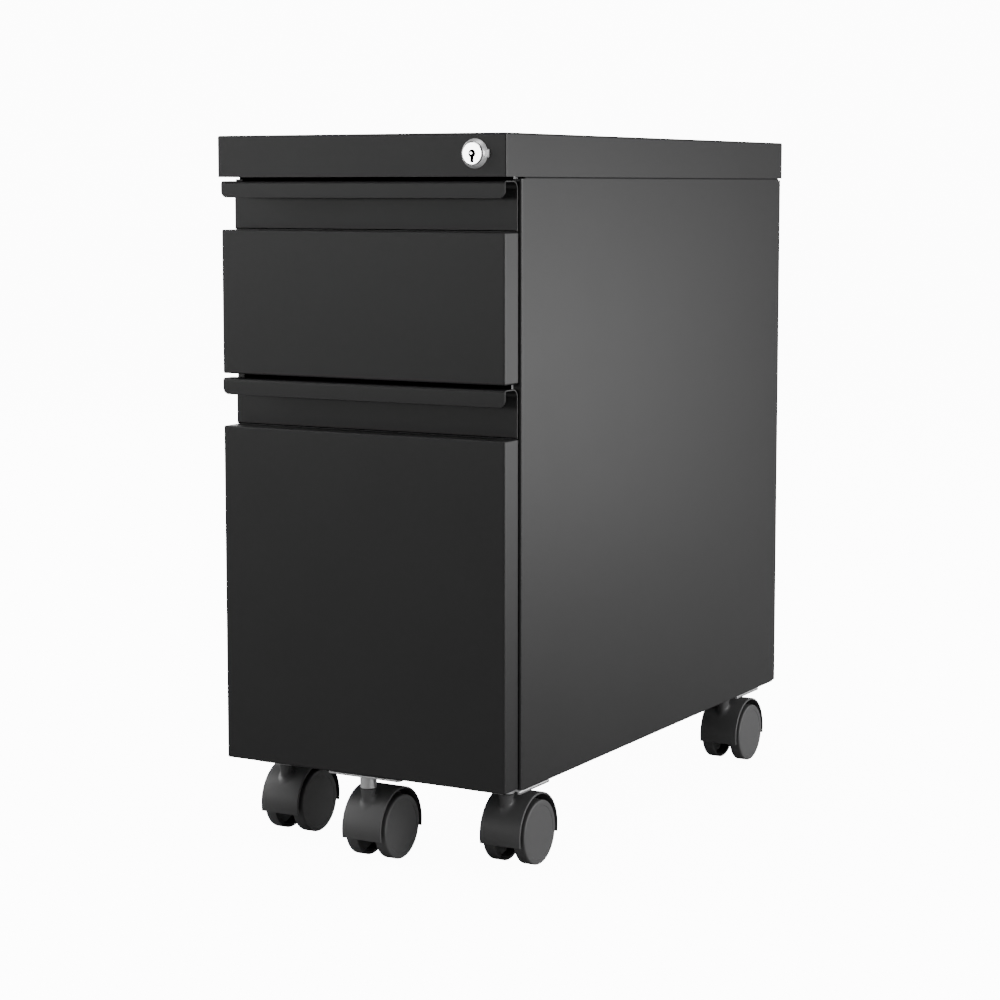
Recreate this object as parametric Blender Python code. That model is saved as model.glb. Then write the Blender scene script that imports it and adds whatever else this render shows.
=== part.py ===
"""Slim mobile pedestal cabinet in folded sheet steel: a box drawer over a file drawer.

It stands on four corner casters, and a fifth caster under the file drawer's front keeps
it from tipping. The origin is on the floor under the middle of the cabinet, the drawers
open towards -Y, +X is the right side as seen from the front, and +Z is up.
"""

import math

import bmesh
import bpy
from mathutils import Matrix, Vector

# Driving dimensions, in metres. Depths are measured back from the face of the top cap.

CABINET_WIDTH = 0.254
CABINET_DEPTH = 0.505
CABINET_HEIGHT = 0.554
SHEET = 0.001
BEND = 0.0015
GAP = 0.0003

CAP_HEIGHT = 0.0316
CAP_LIP = 0.012
CASE_FRONT_DEPTH = 0.0227
CASE_REAR_INSET = 0.0027
FRONT_FLANGE = 0.007
REAR_FLANGE = 0.014
BOTTOM_FLANGE = 0.015
JOGGLE_HEIGHT = 0.010
PAN_SETBACK = 0.0033
PAN_UPSTAND = 0.011
PAN_NOTCH_WIDTH = 0.100
PAN_NOTCH_DEPTH = 0.026

FRONT_WIDTH = 0.250
FRONT_FACE_DEPTH = 0.0014
FRONT_THICKNESS = 0.0196
CAP_TO_PULL = 0.0028
BOX_TO_FILE = 0.0034
PULL_OPENING = 0.0371
PULL_LIP_DROP = 0.0128
PULL_FRONT_BEND = 0.002
PULL_REAR_BEND = 0.006
PULL_TAIL = 0.015
BOX_PANEL_HEIGHT = 0.1108
FILE_PANEL_CLEARANCE = 0.0021

TRAY_REAR_CLEARANCE = 0.020
BOX_TRAY_LIFT = 0.0085
BOX_TRAY_HEIGHT = 0.090
FILE_TRAY_LIFT = 0.0025
FILE_TRAY_HEIGHT = 0.254
BOX_SLIDE_LIFT = 0.027
FILE_SLIDE_LIFT = 0.140

SLIDE_THICKNESS = 0.0127
SLIDE_GAUGE = 0.0012
SLIDE_HALF_HEIGHT = 0.0225
BALL_SIZE = 0.0028
BALL_CAGE_WIDTH = 0.003
OUTER_LIP_PLAY = 0.00096
MIDDLE_WEB_PLAY = 0.0008
MIDDLE_LIP_PLAY = 0.0012
INNER_LIP_PLAY = 0.0016
SLIDE_STANDOFF = 0.0127
SLIDE_FRONT_SETBACK = 0.0193
SLIDE_REAR_CLEARANCE = 0.008
BRACKET_LENGTH = 0.030
BRACKET_INSET = 0.018
BRACKET_HEIGHT = 0.036

FOLDER_RAIL_SPACING = 0.311
FOLDER_RAIL_SETBACK = 0.030
FOLDER_RAIL_THICKNESS = 0.002
FOLDER_RAIL_HEIGHT = 0.013
FOLDER_RAIL_HOOK = 0.008

LOCK_INSET = 0.026
LOCK_HEADROOM = 0.0012
LOCK_PROUD = 0.0045
LOCK_RING_THICKNESS = 0.00135
LOCK_HEAD_SEAT = 0.0017
LOCK_RING_RADIUS = 0.01075
LOCK_FACE_RADIUS = 0.0083
LOCK_BARREL_RADIUS = 0.009
LOCK_CORE_RADIUS = 0.0055
LOCK_TAIL_RADIUS = 0.004
LOCK_BARREL_LENGTH = 0.022
LOCK_NUT_FLATS = 0.024
LOCK_NUT_THICKNESS = 0.003
KEYHOLE_RADIUS = 0.0029
KEYHOLE_SLOT_WIDTH = 0.0026
KEYHOLE_SLOT_REACH = 0.0064
KEYHOLE_DEPTH = 0.006
CAM_THICKNESS = 0.003
CAM_REACH = 0.012
CAM_PIN_RADIUS = 0.0018
CAM_PIN_PLAY = 0.0005
CAM_REST_ANGLE = math.radians(45)

BAR_TO_SLOT = 0.0007
LOCK_BAR_THICKNESS = 0.003
LOCK_BAR_WIDTH = 0.008
LOCK_BAR_DEPTH = 0.030
LOCK_TAB_THICKNESS = 0.002
LOCK_TAB_MARGIN = 0.002
CHANNEL_LIP = 0.0007
CHANNEL_FOOT = 0.012
CHANNEL_RISE = 0.032
HOOK_REACH = 0.004
HOOK_THICKNESS = 0.0035
HOOK_HEIGHT = 0.015
CATCH_HEIGHT = 0.012
CATCH_DROP = 0.014
CATCH_THICKNESS = 0.002
CATCH_FOOT = 0.024
CATCH_CLEARANCE = 0.0015
HOOK_TO_CATCH = 0.002

WHEEL_RADIUS = 0.025
WHEEL_WIDTH = 0.010
WHEEL_EDGE = 0.0012
WHEEL_RIM = 0.0025
HUB_RADIUS = 0.007
AXLE_RADIUS = 0.003
AXLE_SETBACK = 0.004
WHEEL_FACE_SETBACK = 0.0005
HOOD_CLEARANCE = 0.0045
HOOD_WALL = 0.0015
HOOD_HALF_WIDTH = 0.0175
HOOD_SKIRT_DROP = 0.006
HOOD_WEB = 0.008
CASTER_TRAIL = 0.0195
NECK_RISE = 0.0015
NECK_TOP_RADIUS = 0.0063
NECK_FOOT_RADIUS = 0.0050
STEM_RADIUS = 0.003
STEM_LENGTH = 0.0165
COLLAR_RADIUS = 0.0064
CASTER_SEAT_RISE = 0.0095
CORNER_CASTER_INSET = 0.0265
FRONT_CASTER_DEPTH = 0.0478
REAR_CASTER_DEPTH = 0.0582
FIFTH_CASTER_DEPTH = 0.0110

PLATE_THICKNESS = 0.002
PLATE_LIP = 0.004
PLATE_HALF_WIDTH = 0.0215
PLATE_FRONT_REACH = 0.024
PLATE_REAR_REACH = 0.031
PLATE_NOTCH_WIDTH = 0.0095
PLATE_NOTCH_DEPTH = 0.006
FIFTH_PLATE_HALF_WIDTH = 0.0325
FIFTH_PLATE_FRONT_REACH = 0.008
FIFTH_PLATE_REAR_REACH = 0.028

BEND_STEPS = 3
LOCK_SEGMENTS = 24
STEM_SEGMENTS = 16
WHEEL_SEGMENTS = 28
HOOD_STEPS = 20
OVERLAP = 0.0005

# Places that follow from the driving dimensions

HALF_WIDTH = CABINET_WIDTH / 2
CAP_FRONT = (LOCK_PROUD - CABINET_DEPTH) / 2
CAP_REAR = CAP_FRONT + CABINET_DEPTH
CAP_BOTTOM = CABINET_HEIGHT - CAP_HEIGHT
CASE_FRONT = CAP_FRONT + CASE_FRONT_DEPTH
CASE_REAR = CAP_REAR - CASE_REAR_INSET
SIDE_INNER = HALF_WIDTH - SHEET

HOOD_RADIUS = WHEEL_RADIUS + HOOD_CLEARANCE + HOOD_WALL
NECK_TOP = WHEEL_RADIUS + HOOD_RADIUS + NECK_RISE
CASE_BOTTOM = NECK_TOP + CASTER_SEAT_RISE
PAN_BOTTOM = CASE_BOTTOM + SHEET + GAP
PAN_FRONT = CASE_FRONT + PAN_SETBACK
BACK_FACE = CASE_REAR - SHEET - GAP
BACK_INNER = BACK_FACE - SHEET

BOX_PULL_TOP = CAP_BOTTOM - CAP_TO_PULL
BOX_PANEL_TOP = BOX_PULL_TOP - PULL_OPENING
BOX_PANEL_BOTTOM = BOX_PANEL_TOP - BOX_PANEL_HEIGHT
FILE_PULL_TOP = BOX_PANEL_BOTTOM - BOX_TO_FILE
FILE_PANEL_TOP = FILE_PULL_TOP - PULL_OPENING
FILE_PANEL_BOTTOM = CASE_BOTTOM + FILE_PANEL_CLEARANCE
FRONT_FACE = CAP_FRONT + FRONT_FACE_DEPTH
FRONT_BACK = FRONT_FACE + FRONT_THICKNESS

SLIDE_OUTER = SIDE_INNER - GAP - SLIDE_STANDOFF
SLIDE_INNER = SLIDE_OUTER - SLIDE_THICKNESS
TRAY_HALF_WIDTH = SLIDE_INNER - GAP
TRAY_FRONT = FRONT_BACK + GAP
TRAY_REAR = BACK_INNER - TRAY_REAR_CLEARANCE
BOX_TRAY_BOTTOM = BOX_PANEL_BOTTOM + BOX_TRAY_LIFT
FILE_TRAY_BOTTOM = FILE_PANEL_BOTTOM + FILE_TRAY_LIFT
SLIDE_FRONT = CASE_FRONT + SLIDE_FRONT_SETBACK
SLIDE_REAR = BACK_INNER - SLIDE_REAR_CLEARANCE

LOCK_X = HALF_WIDTH - LOCK_INSET
LOCK_SLOT_HALF = CAM_PIN_RADIUS + CAM_PIN_PLAY
LOCK_BAR_TOP = CABINET_HEIGHT - SHEET - LOCK_HEADROOM
LOCK_Z = LOCK_BAR_TOP - LOCK_TAB_MARGIN - LOCK_SLOT_HALF - CAM_REACH * math.sin(CAM_REST_ANGLE)
LOCK_BAR_TRAVEL = 2 * CAM_REACH * math.sin(CAM_REST_ANGLE)
BAR_INNER = LOCK_X + CAM_REACH + LOCK_SLOT_HALF + BAR_TO_SLOT
BAR_OUTER = BAR_INNER + LOCK_BAR_THICKNESS
BAR_FRONT = CAP_FRONT + LOCK_BAR_DEPTH
BAR_REAR = BAR_FRONT + LOCK_BAR_WIDTH

# Finishes: linear colour, roughness, metallic

BLACK_PAINT = ((0.020, 0.020, 0.021), 0.42, 0.0)
ZINC = ((0.55, 0.55, 0.56), 0.35, 1.0)
CHROME = ((0.75, 0.75, 0.76), 0.15, 1.0)
BLACK_PLASTIC = ((0.035, 0.035, 0.036), 0.50, 0.0)
DISC_PLASTIC = ((0.060, 0.060, 0.061), 0.45, 0.0)


def clear_scene():
    for item in list(bpy.data.objects):
        bpy.data.objects.remove(item, do_unlink=True)


def empty(name, place, parent=None):
    """An empty that marks a joint's axis."""
    marker = bpy.data.objects.new(name, None)
    marker.empty_display_size = 0.02
    marker.location = place
    marker.parent = parent
    bpy.context.collection.objects.link(marker)
    return marker


def solid(name, bm):
    """An object from a closed mesh whose faces are turned outwards."""
    bmesh.ops.remove_doubles(bm, verts=bm.verts, dist=1e-7)
    bmesh.ops.recalc_face_normals(bm, faces=bm.faces)
    mesh = bpy.data.meshes.new(name)
    bm.to_mesh(mesh)
    bm.free()
    part = bpy.data.objects.new(name, mesh)
    bpy.context.collection.objects.link(part)
    return part


def block(name, low, high):
    """A box between two corners."""
    low, high = Vector(low), Vector(high)
    bm = bmesh.new()
    bmesh.ops.create_cube(bm, size=1.0)
    size = high - low
    bm.transform(Matrix.Translation((low + high) / 2) @ Matrix.Diagonal((*size, 1.0)))
    return solid(name, bm)


def prism(name, outline, axis, start, end):
    """An outline pushed along one axis; its points are the other two axes, in X, Y, Z order."""
    bm = bmesh.new()
    ends = []
    for place in (start, end):
        ring = []
        for first, second in outline:
            point = {"X": (place, first, second), "Y": (first, place, second), "Z": (first, second, place)}
            ring.append(bm.verts.new(point[axis]))
        ends.append(ring)
    bm.faces.new(ends[0])
    bm.faces.new(reversed(ends[1]))
    for this, after in zip(range(len(outline)), [*range(1, len(outline)), 0]):
        bm.faces.new((ends[0][this], ends[0][after], ends[1][after], ends[1][this]))
    return solid(name, bm)


def turned(name, profile, axis, centre, closed=True, segments=LOCK_SEGMENTS):
    """A profile of (radius, place along the axis) turned a full circle; an open one ends on the axis."""
    bm = bmesh.new()
    points = [bm.verts.new((radius, 0.0, along)) for radius, along in profile]
    edges = [bm.edges.new(pair) for pair in zip(points, points[1:])]
    if closed:
        edges.append(bm.edges.new((points[-1], points[0])))
    bmesh.ops.spin(
        bm,
        geom=points + edges,
        cent=(0, 0, 0),
        axis=(0, 0, 1),
        angle=math.tau,
        steps=segments,
        use_merge=True,
    )
    turn = {
        "X": Matrix(((0, 0, 1, 0), (0, 1, 0, 0), (-1, 0, 0, 0), (0, 0, 0, 1))),
        "Y": Matrix(((1, 0, 0, 0), (0, 0, 1, 0), (0, -1, 0, 0), (0, 0, 0, 1))),
        "Z": Matrix.Identity(4),
    }
    bm.transform(Matrix.Translation(centre) @ turn[axis])
    return solid(name, bm)


def arc(centre, radius, start, end, steps):
    """Points on a circle from one angle to another, both in degrees."""
    points = []
    for step in range(steps + 1):
        angle = math.radians(start + (end - start) * step / steps)
        points.append((centre[0] + radius * math.cos(angle), centre[1] + radius * math.sin(angle)))
    return points


def rounded_path(path, radii):
    """An open path whose inner corners are arcs of the given radii."""
    points = [Vector(path[0])]
    for before, corner, after, radius in zip(path, path[1:], path[2:], radii):
        before, corner, after = Vector(before), Vector(corner), Vector(after)
        towards_before = (before - corner).normalized()
        towards_after = (after - corner).normalized()
        half_angle = towards_before.angle(towards_after) / 2
        centre = corner + (towards_before + towards_after).normalized() * radius / math.sin(half_angle)
        from_centre = corner + towards_before * radius / math.tan(half_angle) - centre
        to_centre = corner + towards_after * radius / math.tan(half_angle) - centre
        for step in range(BEND_STEPS + 1):
            spoke = from_centre.lerp(to_centre, step / BEND_STEPS).normalized()
            points.append(centre + spoke * radius)
    points.append(Vector(path[-1]))
    return points


def folded_sheet(path, radii, thickness=SHEET):
    """The outline of a sheet folded along its middle line, as a closed loop of points."""
    middle = rounded_path(path, radii)
    left, right = [], []
    for index, point in enumerate(middle):
        before = middle[max(index - 1, 0)]
        after = middle[min(index + 1, len(middle) - 1)]
        along = (after - before).normalized()
        across = Vector((-along.y, along.x)) * thickness / 2
        left.append(tuple(point + across))
        right.append(tuple(point - across))
    return left + right[::-1]


def mirrored(outline, side):
    """The outline with its first coordinate on the right (side 1) or the left (side -1)."""
    return [(side * first, second) for first, second in outline]


def combine(part, operation, *tools):
    """Joins the tools to the part, or cuts them from it, and removes them."""
    for tool in tools:
        boolean = part.modifiers.new(tool.name, "BOOLEAN")
        boolean.operation = operation
        boolean.object = tool
        boolean.solver = "EXACT"
        tool.hide_render = True
        tool.display_type = "WIRE"
    bpy.context.view_layer.update()
    graph = bpy.context.evaluated_depsgraph_get()
    mesh = bpy.data.meshes.new_from_object(part.evaluated_get(graph))
    part.modifiers.clear()
    part.data = mesh
    for tool in tools:
        bpy.data.objects.remove(tool, do_unlink=True)
    return part


def open_box(name, low, high, wall, open_side):
    """A thin box with one side missing; open_side is the outward direction of that side."""
    low, high = Vector(low), Vector(high)
    inner_low = low + Vector((wall, wall, wall))
    inner_high = high - Vector((wall, wall, wall))
    for index, direction in enumerate(open_side):
        if direction > 0:
            inner_high[index] = high[index] + wall
        if direction < 0:
            inner_low[index] = low[index] - wall
    return combine(block(name, low, high), "DIFFERENCE", block(name + "_hollow", inner_low, inner_high))


def finish(part, look, parent=None, smooth=False):
    """Gives the part its own material, and its origin on its parent's axis."""
    colour, roughness, metallic = look
    material = bpy.data.materials.new(part.name + "_finish")
    material.use_nodes = True
    shader = material.node_tree.nodes["Principled BSDF"]
    shader.inputs["Base Color"].default_value = (*colour, 1.0)
    shader.inputs["Roughness"].default_value = roughness
    shader.inputs["Metallic"].default_value = metallic
    part.data.materials.clear()
    part.data.materials.append(material)
    if smooth:
        part.data.shade_smooth()
        part.data.set_sharp_from_angle(angle=math.radians(35))
    if parent:
        bpy.context.view_layer.update()
        part.data.transform(Matrix.Translation(-parent.matrix_world.translation))
        part.parent = parent
    return part


def copy_of(part, name, parent):
    """Another object with a copy of the mesh, on another axis."""
    twin = bpy.data.objects.new(name, part.data.copy())
    twin.parent = parent
    bpy.context.collection.objects.link(twin)
    return twin


def build_top_cap():
    """A pan turned upside down over the case; its front wall carries the lock."""
    cap = open_box(
        "top_cap",
        (-HALF_WIDTH, CAP_FRONT, CAP_BOTTOM),
        (HALF_WIDTH, CAP_REAR, CABINET_HEIGHT),
        SHEET,
        (0, 0, -1),
    )
    lip = block(
        "cap_lip",
        (-HALF_WIDTH + OVERLAP, CAP_FRONT + OVERLAP, CAP_BOTTOM),
        (HALF_WIDTH - OVERLAP, CAP_FRONT + CAP_LIP, CAP_BOTTOM + SHEET),
    )
    hole_radius = LOCK_BARREL_RADIUS + GAP
    lock_hole = turned(
        "lock_hole",
        [(0, -2 * SHEET), (hole_radius, -2 * SHEET), (hole_radius, 2 * SHEET), (0, 2 * SHEET)],
        "Y",
        (LOCK_X, CAP_FRONT, LOCK_Z),
        closed=False,
    )
    combine(cap, "UNION", lip)
    combine(cap, "DIFFERENCE", lock_hole)
    return finish(cap, BLACK_PAINT)


def build_side_panel(name, side):
    """A wall folded in at its front, rear and bottom, with a set-in top edge inside the cap."""
    middle = HALF_WIDTH - SHEET / 2
    outline = folded_sheet(
        [
            (HALF_WIDTH - FRONT_FLANGE, CASE_FRONT + SHEET / 2),
            (middle, CASE_FRONT + SHEET / 2),
            (middle, CASE_REAR - SHEET / 2),
            (HALF_WIDTH - REAR_FLANGE, CASE_REAR - SHEET / 2),
        ],
        [BEND, BEND],
    )
    panel = prism(name, mirrored(outline, side), "Z", CASE_BOTTOM, CAP_BOTTOM - GAP)
    set_in = SIDE_INNER - GAP
    joggle_outline = [
        (set_in - SHEET, CAP_BOTTOM - JOGGLE_HEIGHT),
        (SIDE_INNER + OVERLAP, CAP_BOTTOM - JOGGLE_HEIGHT),
        (SIDE_INNER + OVERLAP, CAP_BOTTOM - GAP),
        (set_in, CAP_BOTTOM - GAP),
        (set_in, CABINET_HEIGHT - SHEET - GAP),
        (set_in - SHEET, CABINET_HEIGHT - SHEET - GAP),
    ]
    inside_front = CASE_FRONT + SHEET + BEND
    inside_rear = BACK_INNER - GAP
    joggle = prism(name + "_joggle", mirrored(joggle_outline, side), "Y", inside_front, inside_rear)
    flange_outline = [
        (HALF_WIDTH - BOTTOM_FLANGE, CASE_BOTTOM),
        (SIDE_INNER + OVERLAP, CASE_BOTTOM),
        (SIDE_INNER + OVERLAP, CASE_BOTTOM + SHEET),
        (HALF_WIDTH - BOTTOM_FLANGE, CASE_BOTTOM + SHEET),
    ]
    flange = prism(name + "_flange", mirrored(flange_outline, side), "Y", inside_front, inside_rear)
    combine(panel, "UNION", joggle, flange)
    return finish(panel, BLACK_PAINT)


def build_back_panel():
    """A sheet behind the side panels' rear flanges, turned forwards at its top and bottom."""
    top = CABINET_HEIGHT - SHEET - GAP - SHEET / 2
    bottom = PAN_BOTTOM + SHEET + GAP + SHEET / 2
    middle = BACK_FACE - SHEET / 2
    turn_in = middle - CAP_LIP
    outline = folded_sheet(
        [(turn_in, top), (middle, top), (middle, bottom), (turn_in, bottom)],
        [BEND, BEND],
    )
    half = SIDE_INNER - 2 * GAP - SHEET - BEND
    panel = prism("back_panel", outline, "X", -half, half)
    return finish(panel, BLACK_PAINT)


def build_base_pan():
    """The cabinet's floor, lying on the side panels' bottom flanges, cut out above the fifth caster."""
    half = SIDE_INNER - GAP - SHEET / 2
    middle = PAN_BOTTOM + SHEET / 2
    outline = folded_sheet(
        [(-half, middle + PAN_UPSTAND), (-half, middle), (half, middle), (half, middle + PAN_UPSTAND)],
        [BEND, BEND],
    )
    pan = prism("base_pan", outline, "Y", PAN_FRONT, BACK_INNER - GAP)
    notch = block(
        "pan_notch",
        (-PAN_NOTCH_WIDTH / 2, PAN_FRONT - SHEET, PAN_BOTTOM - SHEET),
        (PAN_NOTCH_WIDTH / 2, PAN_FRONT + PAN_NOTCH_DEPTH, PAN_BOTTOM + 2 * SHEET),
    )
    combine(pan, "DIFFERENCE", notch)
    return finish(pan, BLACK_PAINT)


def slide_levels():
    """Heights above the slide's middle: each member's outer and inner face of its lips."""
    outer_out = SLIDE_HALF_HEIGHT
    outer_in = outer_out - SLIDE_GAUGE
    middle_out = outer_in - BALL_SIZE
    middle_in = middle_out - SLIDE_GAUGE
    inner_out = middle_in - BALL_SIZE
    inner_in = inner_out - SLIDE_GAUGE
    return outer_out, outer_in, middle_out, middle_in, inner_out, inner_in


def channel_outline(web, web_inside, tip, out, inside, centre):
    """A C section: its web at one side, and a lip above and below that reaches to the tip."""
    return [
        (web, centre - out),
        (tip, centre - out),
        (tip, centre - inside),
        (web_inside, centre - inside),
        (web_inside, centre + inside),
        (tip, centre + inside),
        (tip, centre + out),
        (web, centre + out),
    ]


def build_outer_slide(name, side, centre):
    """The fixed channel of a ball slide, with two folded brackets that hold it off the side panel."""
    outer_out, outer_in = slide_levels()[:2]
    tip = SLIDE_INNER + SLIDE_GAUGE + OUTER_LIP_PLAY
    outline = channel_outline(SLIDE_OUTER, SLIDE_OUTER - SLIDE_GAUGE, tip, outer_out, outer_in, centre)
    slide = prism(name, mirrored(outline, side), "Y", SLIDE_FRONT, SLIDE_REAR)
    foot = SIDE_INNER - GAP
    starts = (SLIDE_FRONT + BRACKET_INSET, SLIDE_REAR - BRACKET_INSET - BRACKET_LENGTH)
    for number, start in enumerate(starts):
        end = start + BRACKET_LENGTH
        root = SLIDE_OUTER - SLIDE_GAUGE / 2
        bracket_outline = [
            (root, start),
            (foot, start),
            (foot, end),
            (root, end),
            (root, end - SLIDE_GAUGE),
            (foot - SLIDE_GAUGE, end - SLIDE_GAUGE),
            (foot - SLIDE_GAUGE, start + SLIDE_GAUGE),
            (root, start + SLIDE_GAUGE),
        ]
        low, high = centre - BRACKET_HEIGHT / 2, centre + BRACKET_HEIGHT / 2
        bracket = prism(f"{name}_bracket_{number}", mirrored(bracket_outline, side), "Z", low, high)
        combine(slide, "UNION", bracket)
    return finish(slide, ZINC)


def build_middle_slide(name, side, centre, axis):
    """The travelling channel, with a ball cage running along both faces of each lip."""
    outer_in, middle_out, middle_in, inner_out = slide_levels()[1:5]
    web = SLIDE_OUTER - SLIDE_GAUGE - MIDDLE_WEB_PLAY
    web_inside = web - SLIDE_GAUGE
    tip = SLIDE_INNER + SLIDE_GAUGE + MIDDLE_LIP_PLAY
    cage = (SLIDE_INNER + SLIDE_OUTER - BALL_CAGE_WIDTH) / 2
    cage_end = cage + BALL_CAGE_WIDTH
    upper = [
        (web_inside, middle_in),
        (cage_end, middle_in),
        (cage_end, inner_out + GAP),
        (cage, inner_out + GAP),
        (cage, middle_in),
        (tip, middle_in),
        (tip, middle_out),
        (cage, middle_out),
        (cage, outer_in - GAP),
        (cage_end, outer_in - GAP),
        (cage_end, middle_out),
        (web, middle_out),
    ]
    outline = [(across, centre + up) for across, up in upper]
    outline += [(across, centre - up) for across, up in reversed(upper)]
    slide = prism(name, mirrored(outline, side), "Y", SLIDE_FRONT, SLIDE_REAR)
    return finish(slide, ZINC, axis)


def build_inner_slide(name, side, centre, axis):
    """The channel that is fixed to the drawer's side."""
    inner_out, inner_in = slide_levels()[4:]
    tip = SLIDE_OUTER - 2 * SLIDE_GAUGE - MIDDLE_WEB_PLAY - INNER_LIP_PLAY
    outline = channel_outline(SLIDE_INNER, SLIDE_INNER + SLIDE_GAUGE, tip, inner_out, inner_in, centre)
    slide = prism(name, mirrored(outline, side), "Y", SLIDE_FRONT, TRAY_REAR)
    return finish(slide, ZINC, axis)


def build_pull(name, top, panel_top, axis):
    """A full-width grip: a lip, a web over the fingers, and a wall behind the recess."""
    lip_middle = FRONT_FACE + SHEET / 2
    web_middle = top - SHEET / 2
    wall_middle = FRONT_BACK - GAP - SHEET / 2
    outline = folded_sheet(
        [
            (lip_middle, top - PULL_LIP_DROP),
            (lip_middle, web_middle),
            (wall_middle, web_middle),
            (wall_middle, panel_top + GAP),
        ],
        [PULL_FRONT_BEND, PULL_REAR_BEND],
    )
    pull = prism(name, outline, "X", -FRONT_WIDTH / 2, FRONT_WIDTH / 2)
    tail_half = FRONT_WIDTH / 2 - SHEET - 2 * GAP
    tail = block(
        name + "_tail",
        (-tail_half, wall_middle - SHEET / 2, panel_top - PULL_TAIL),
        (tail_half, wall_middle + SHEET / 2, panel_top + PULL_TAIL / 2),
    )
    combine(pull, "UNION", tail)
    return finish(pull, BLACK_PAINT, axis)


def build_front_panel(name, bottom, top, axis):
    """A drawer face folded back on all four edges; its top edge stops short of the grip's wall."""
    half = FRONT_WIDTH / 2
    panel = open_box(name, (-half, FRONT_FACE, bottom), (half, FRONT_BACK, top), SHEET, (0, 1, 0))
    inner = half - SHEET
    wall_front = FRONT_BACK - 2 * GAP - SHEET
    relief = block(
        name + "_relief",
        (-inner, wall_front, top - 2 * SHEET),
        (inner, FRONT_BACK + SHEET, top + SHEET),
    )
    combine(panel, "DIFFERENCE", relief)
    return finish(panel, BLACK_PAINT, axis)


def build_tray(name, bottom, height, axis):
    """The drawer's body: a floor, two sides, a front wall and a back wall."""
    tray = open_box(
        name,
        (-TRAY_HALF_WIDTH, TRAY_FRONT, bottom),
        (TRAY_HALF_WIDTH, TRAY_REAR, bottom + height),
        SHEET,
        (0, 0, 1),
    )
    return finish(tray, BLACK_PAINT, axis)


def build_catch(name, tray_top, axis):
    """An angle on the drawer's right side that the lock bar's hook stands in front of when locked."""
    top = tray_top - CATCH_DROP
    front = BAR_FRONT + SHEET + HOOK_THICKNESS + CATCH_CLEARANCE
    reach = BAR_INNER - CATCH_CLEARANCE
    foot = SLIDE_INNER
    outline = [
        (foot, front),
        (reach, front),
        (reach, front + CATCH_THICKNESS),
        (foot + SLIDE_GAUGE, front + CATCH_THICKNESS),
        (foot + SLIDE_GAUGE, front + CATCH_FOOT),
        (foot, front + CATCH_FOOT),
    ]
    catch = prism(name, outline, "Z", top - CATCH_HEIGHT, top)
    return finish(catch, ZINC, axis)


def build_folder_rail(name, front, tray_top, axis):
    """A flat bar across the file drawer that hooks over both sides, for hanging folders."""
    inner = TRAY_HALF_WIDTH - SHEET - GAP
    over = TRAY_HALF_WIDTH + GAP
    outer = over + SLIDE_GAUGE
    seat = tray_top + GAP
    right = [
        (inner, seat - FOLDER_RAIL_HEIGHT),
        (inner, seat),
        (over, seat),
        (over, seat - FOLDER_RAIL_HOOK),
        (outer, seat - FOLDER_RAIL_HOOK),
        (outer, seat + FOLDER_RAIL_THICKNESS),
    ]
    outline = right + [(-across, up) for across, up in reversed(right)]
    rail = prism(name, outline, "Y", front, front + FOLDER_RAIL_THICKNESS)
    return finish(rail, ZINC, axis)


def build_lock_housing():
    """A barrel through the cap's front wall, with a bevelled ring around its face."""
    ring_back = -GAP
    ring_front = -LOCK_RING_THICKNESS
    face = GAP - LOCK_PROUD
    head_seat = -LOCK_HEAD_SEAT
    profile = [
        (LOCK_BARREL_RADIUS, ring_back),
        (LOCK_RING_RADIUS, ring_back),
        (LOCK_RING_RADIUS, ring_front),
        (LOCK_FACE_RADIUS + 2 * GAP, face),
        (LOCK_FACE_RADIUS + GAP, face),
        (LOCK_FACE_RADIUS + GAP, head_seat),
        (LOCK_CORE_RADIUS + GAP, head_seat),
        (LOCK_CORE_RADIUS + GAP, LOCK_BARREL_LENGTH),
        (LOCK_BARREL_RADIUS, LOCK_BARREL_LENGTH),
    ]
    housing = turned("lock_housing", profile, "Y", (LOCK_X, CAP_FRONT, LOCK_Z))
    return finish(housing, CHROME, smooth=True)


def build_lock_nut():
    """The hexagon nut that clamps the lock's barrel from behind the cap's front wall."""
    front = CAP_FRONT + SHEET + GAP
    corner = LOCK_NUT_FLATS / 2 / math.cos(math.radians(30))
    outline = arc((LOCK_X, LOCK_Z), corner, 0, 300, 5)
    nut = prism("lock_nut", outline, "Y", front, front + LOCK_NUT_THICKNESS)
    radius = LOCK_BARREL_RADIUS + GAP
    bore = turned(
        "nut_bore",
        [(0, 0), (radius, 0), (radius, 3 * LOCK_NUT_THICKNESS), (0, 3 * LOCK_NUT_THICKNESS)],
        "Y",
        (LOCK_X, front - LOCK_NUT_THICKNESS, LOCK_Z),
        closed=False,
    )
    combine(nut, "DIFFERENCE", bore)
    return finish(nut, ZINC)


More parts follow.
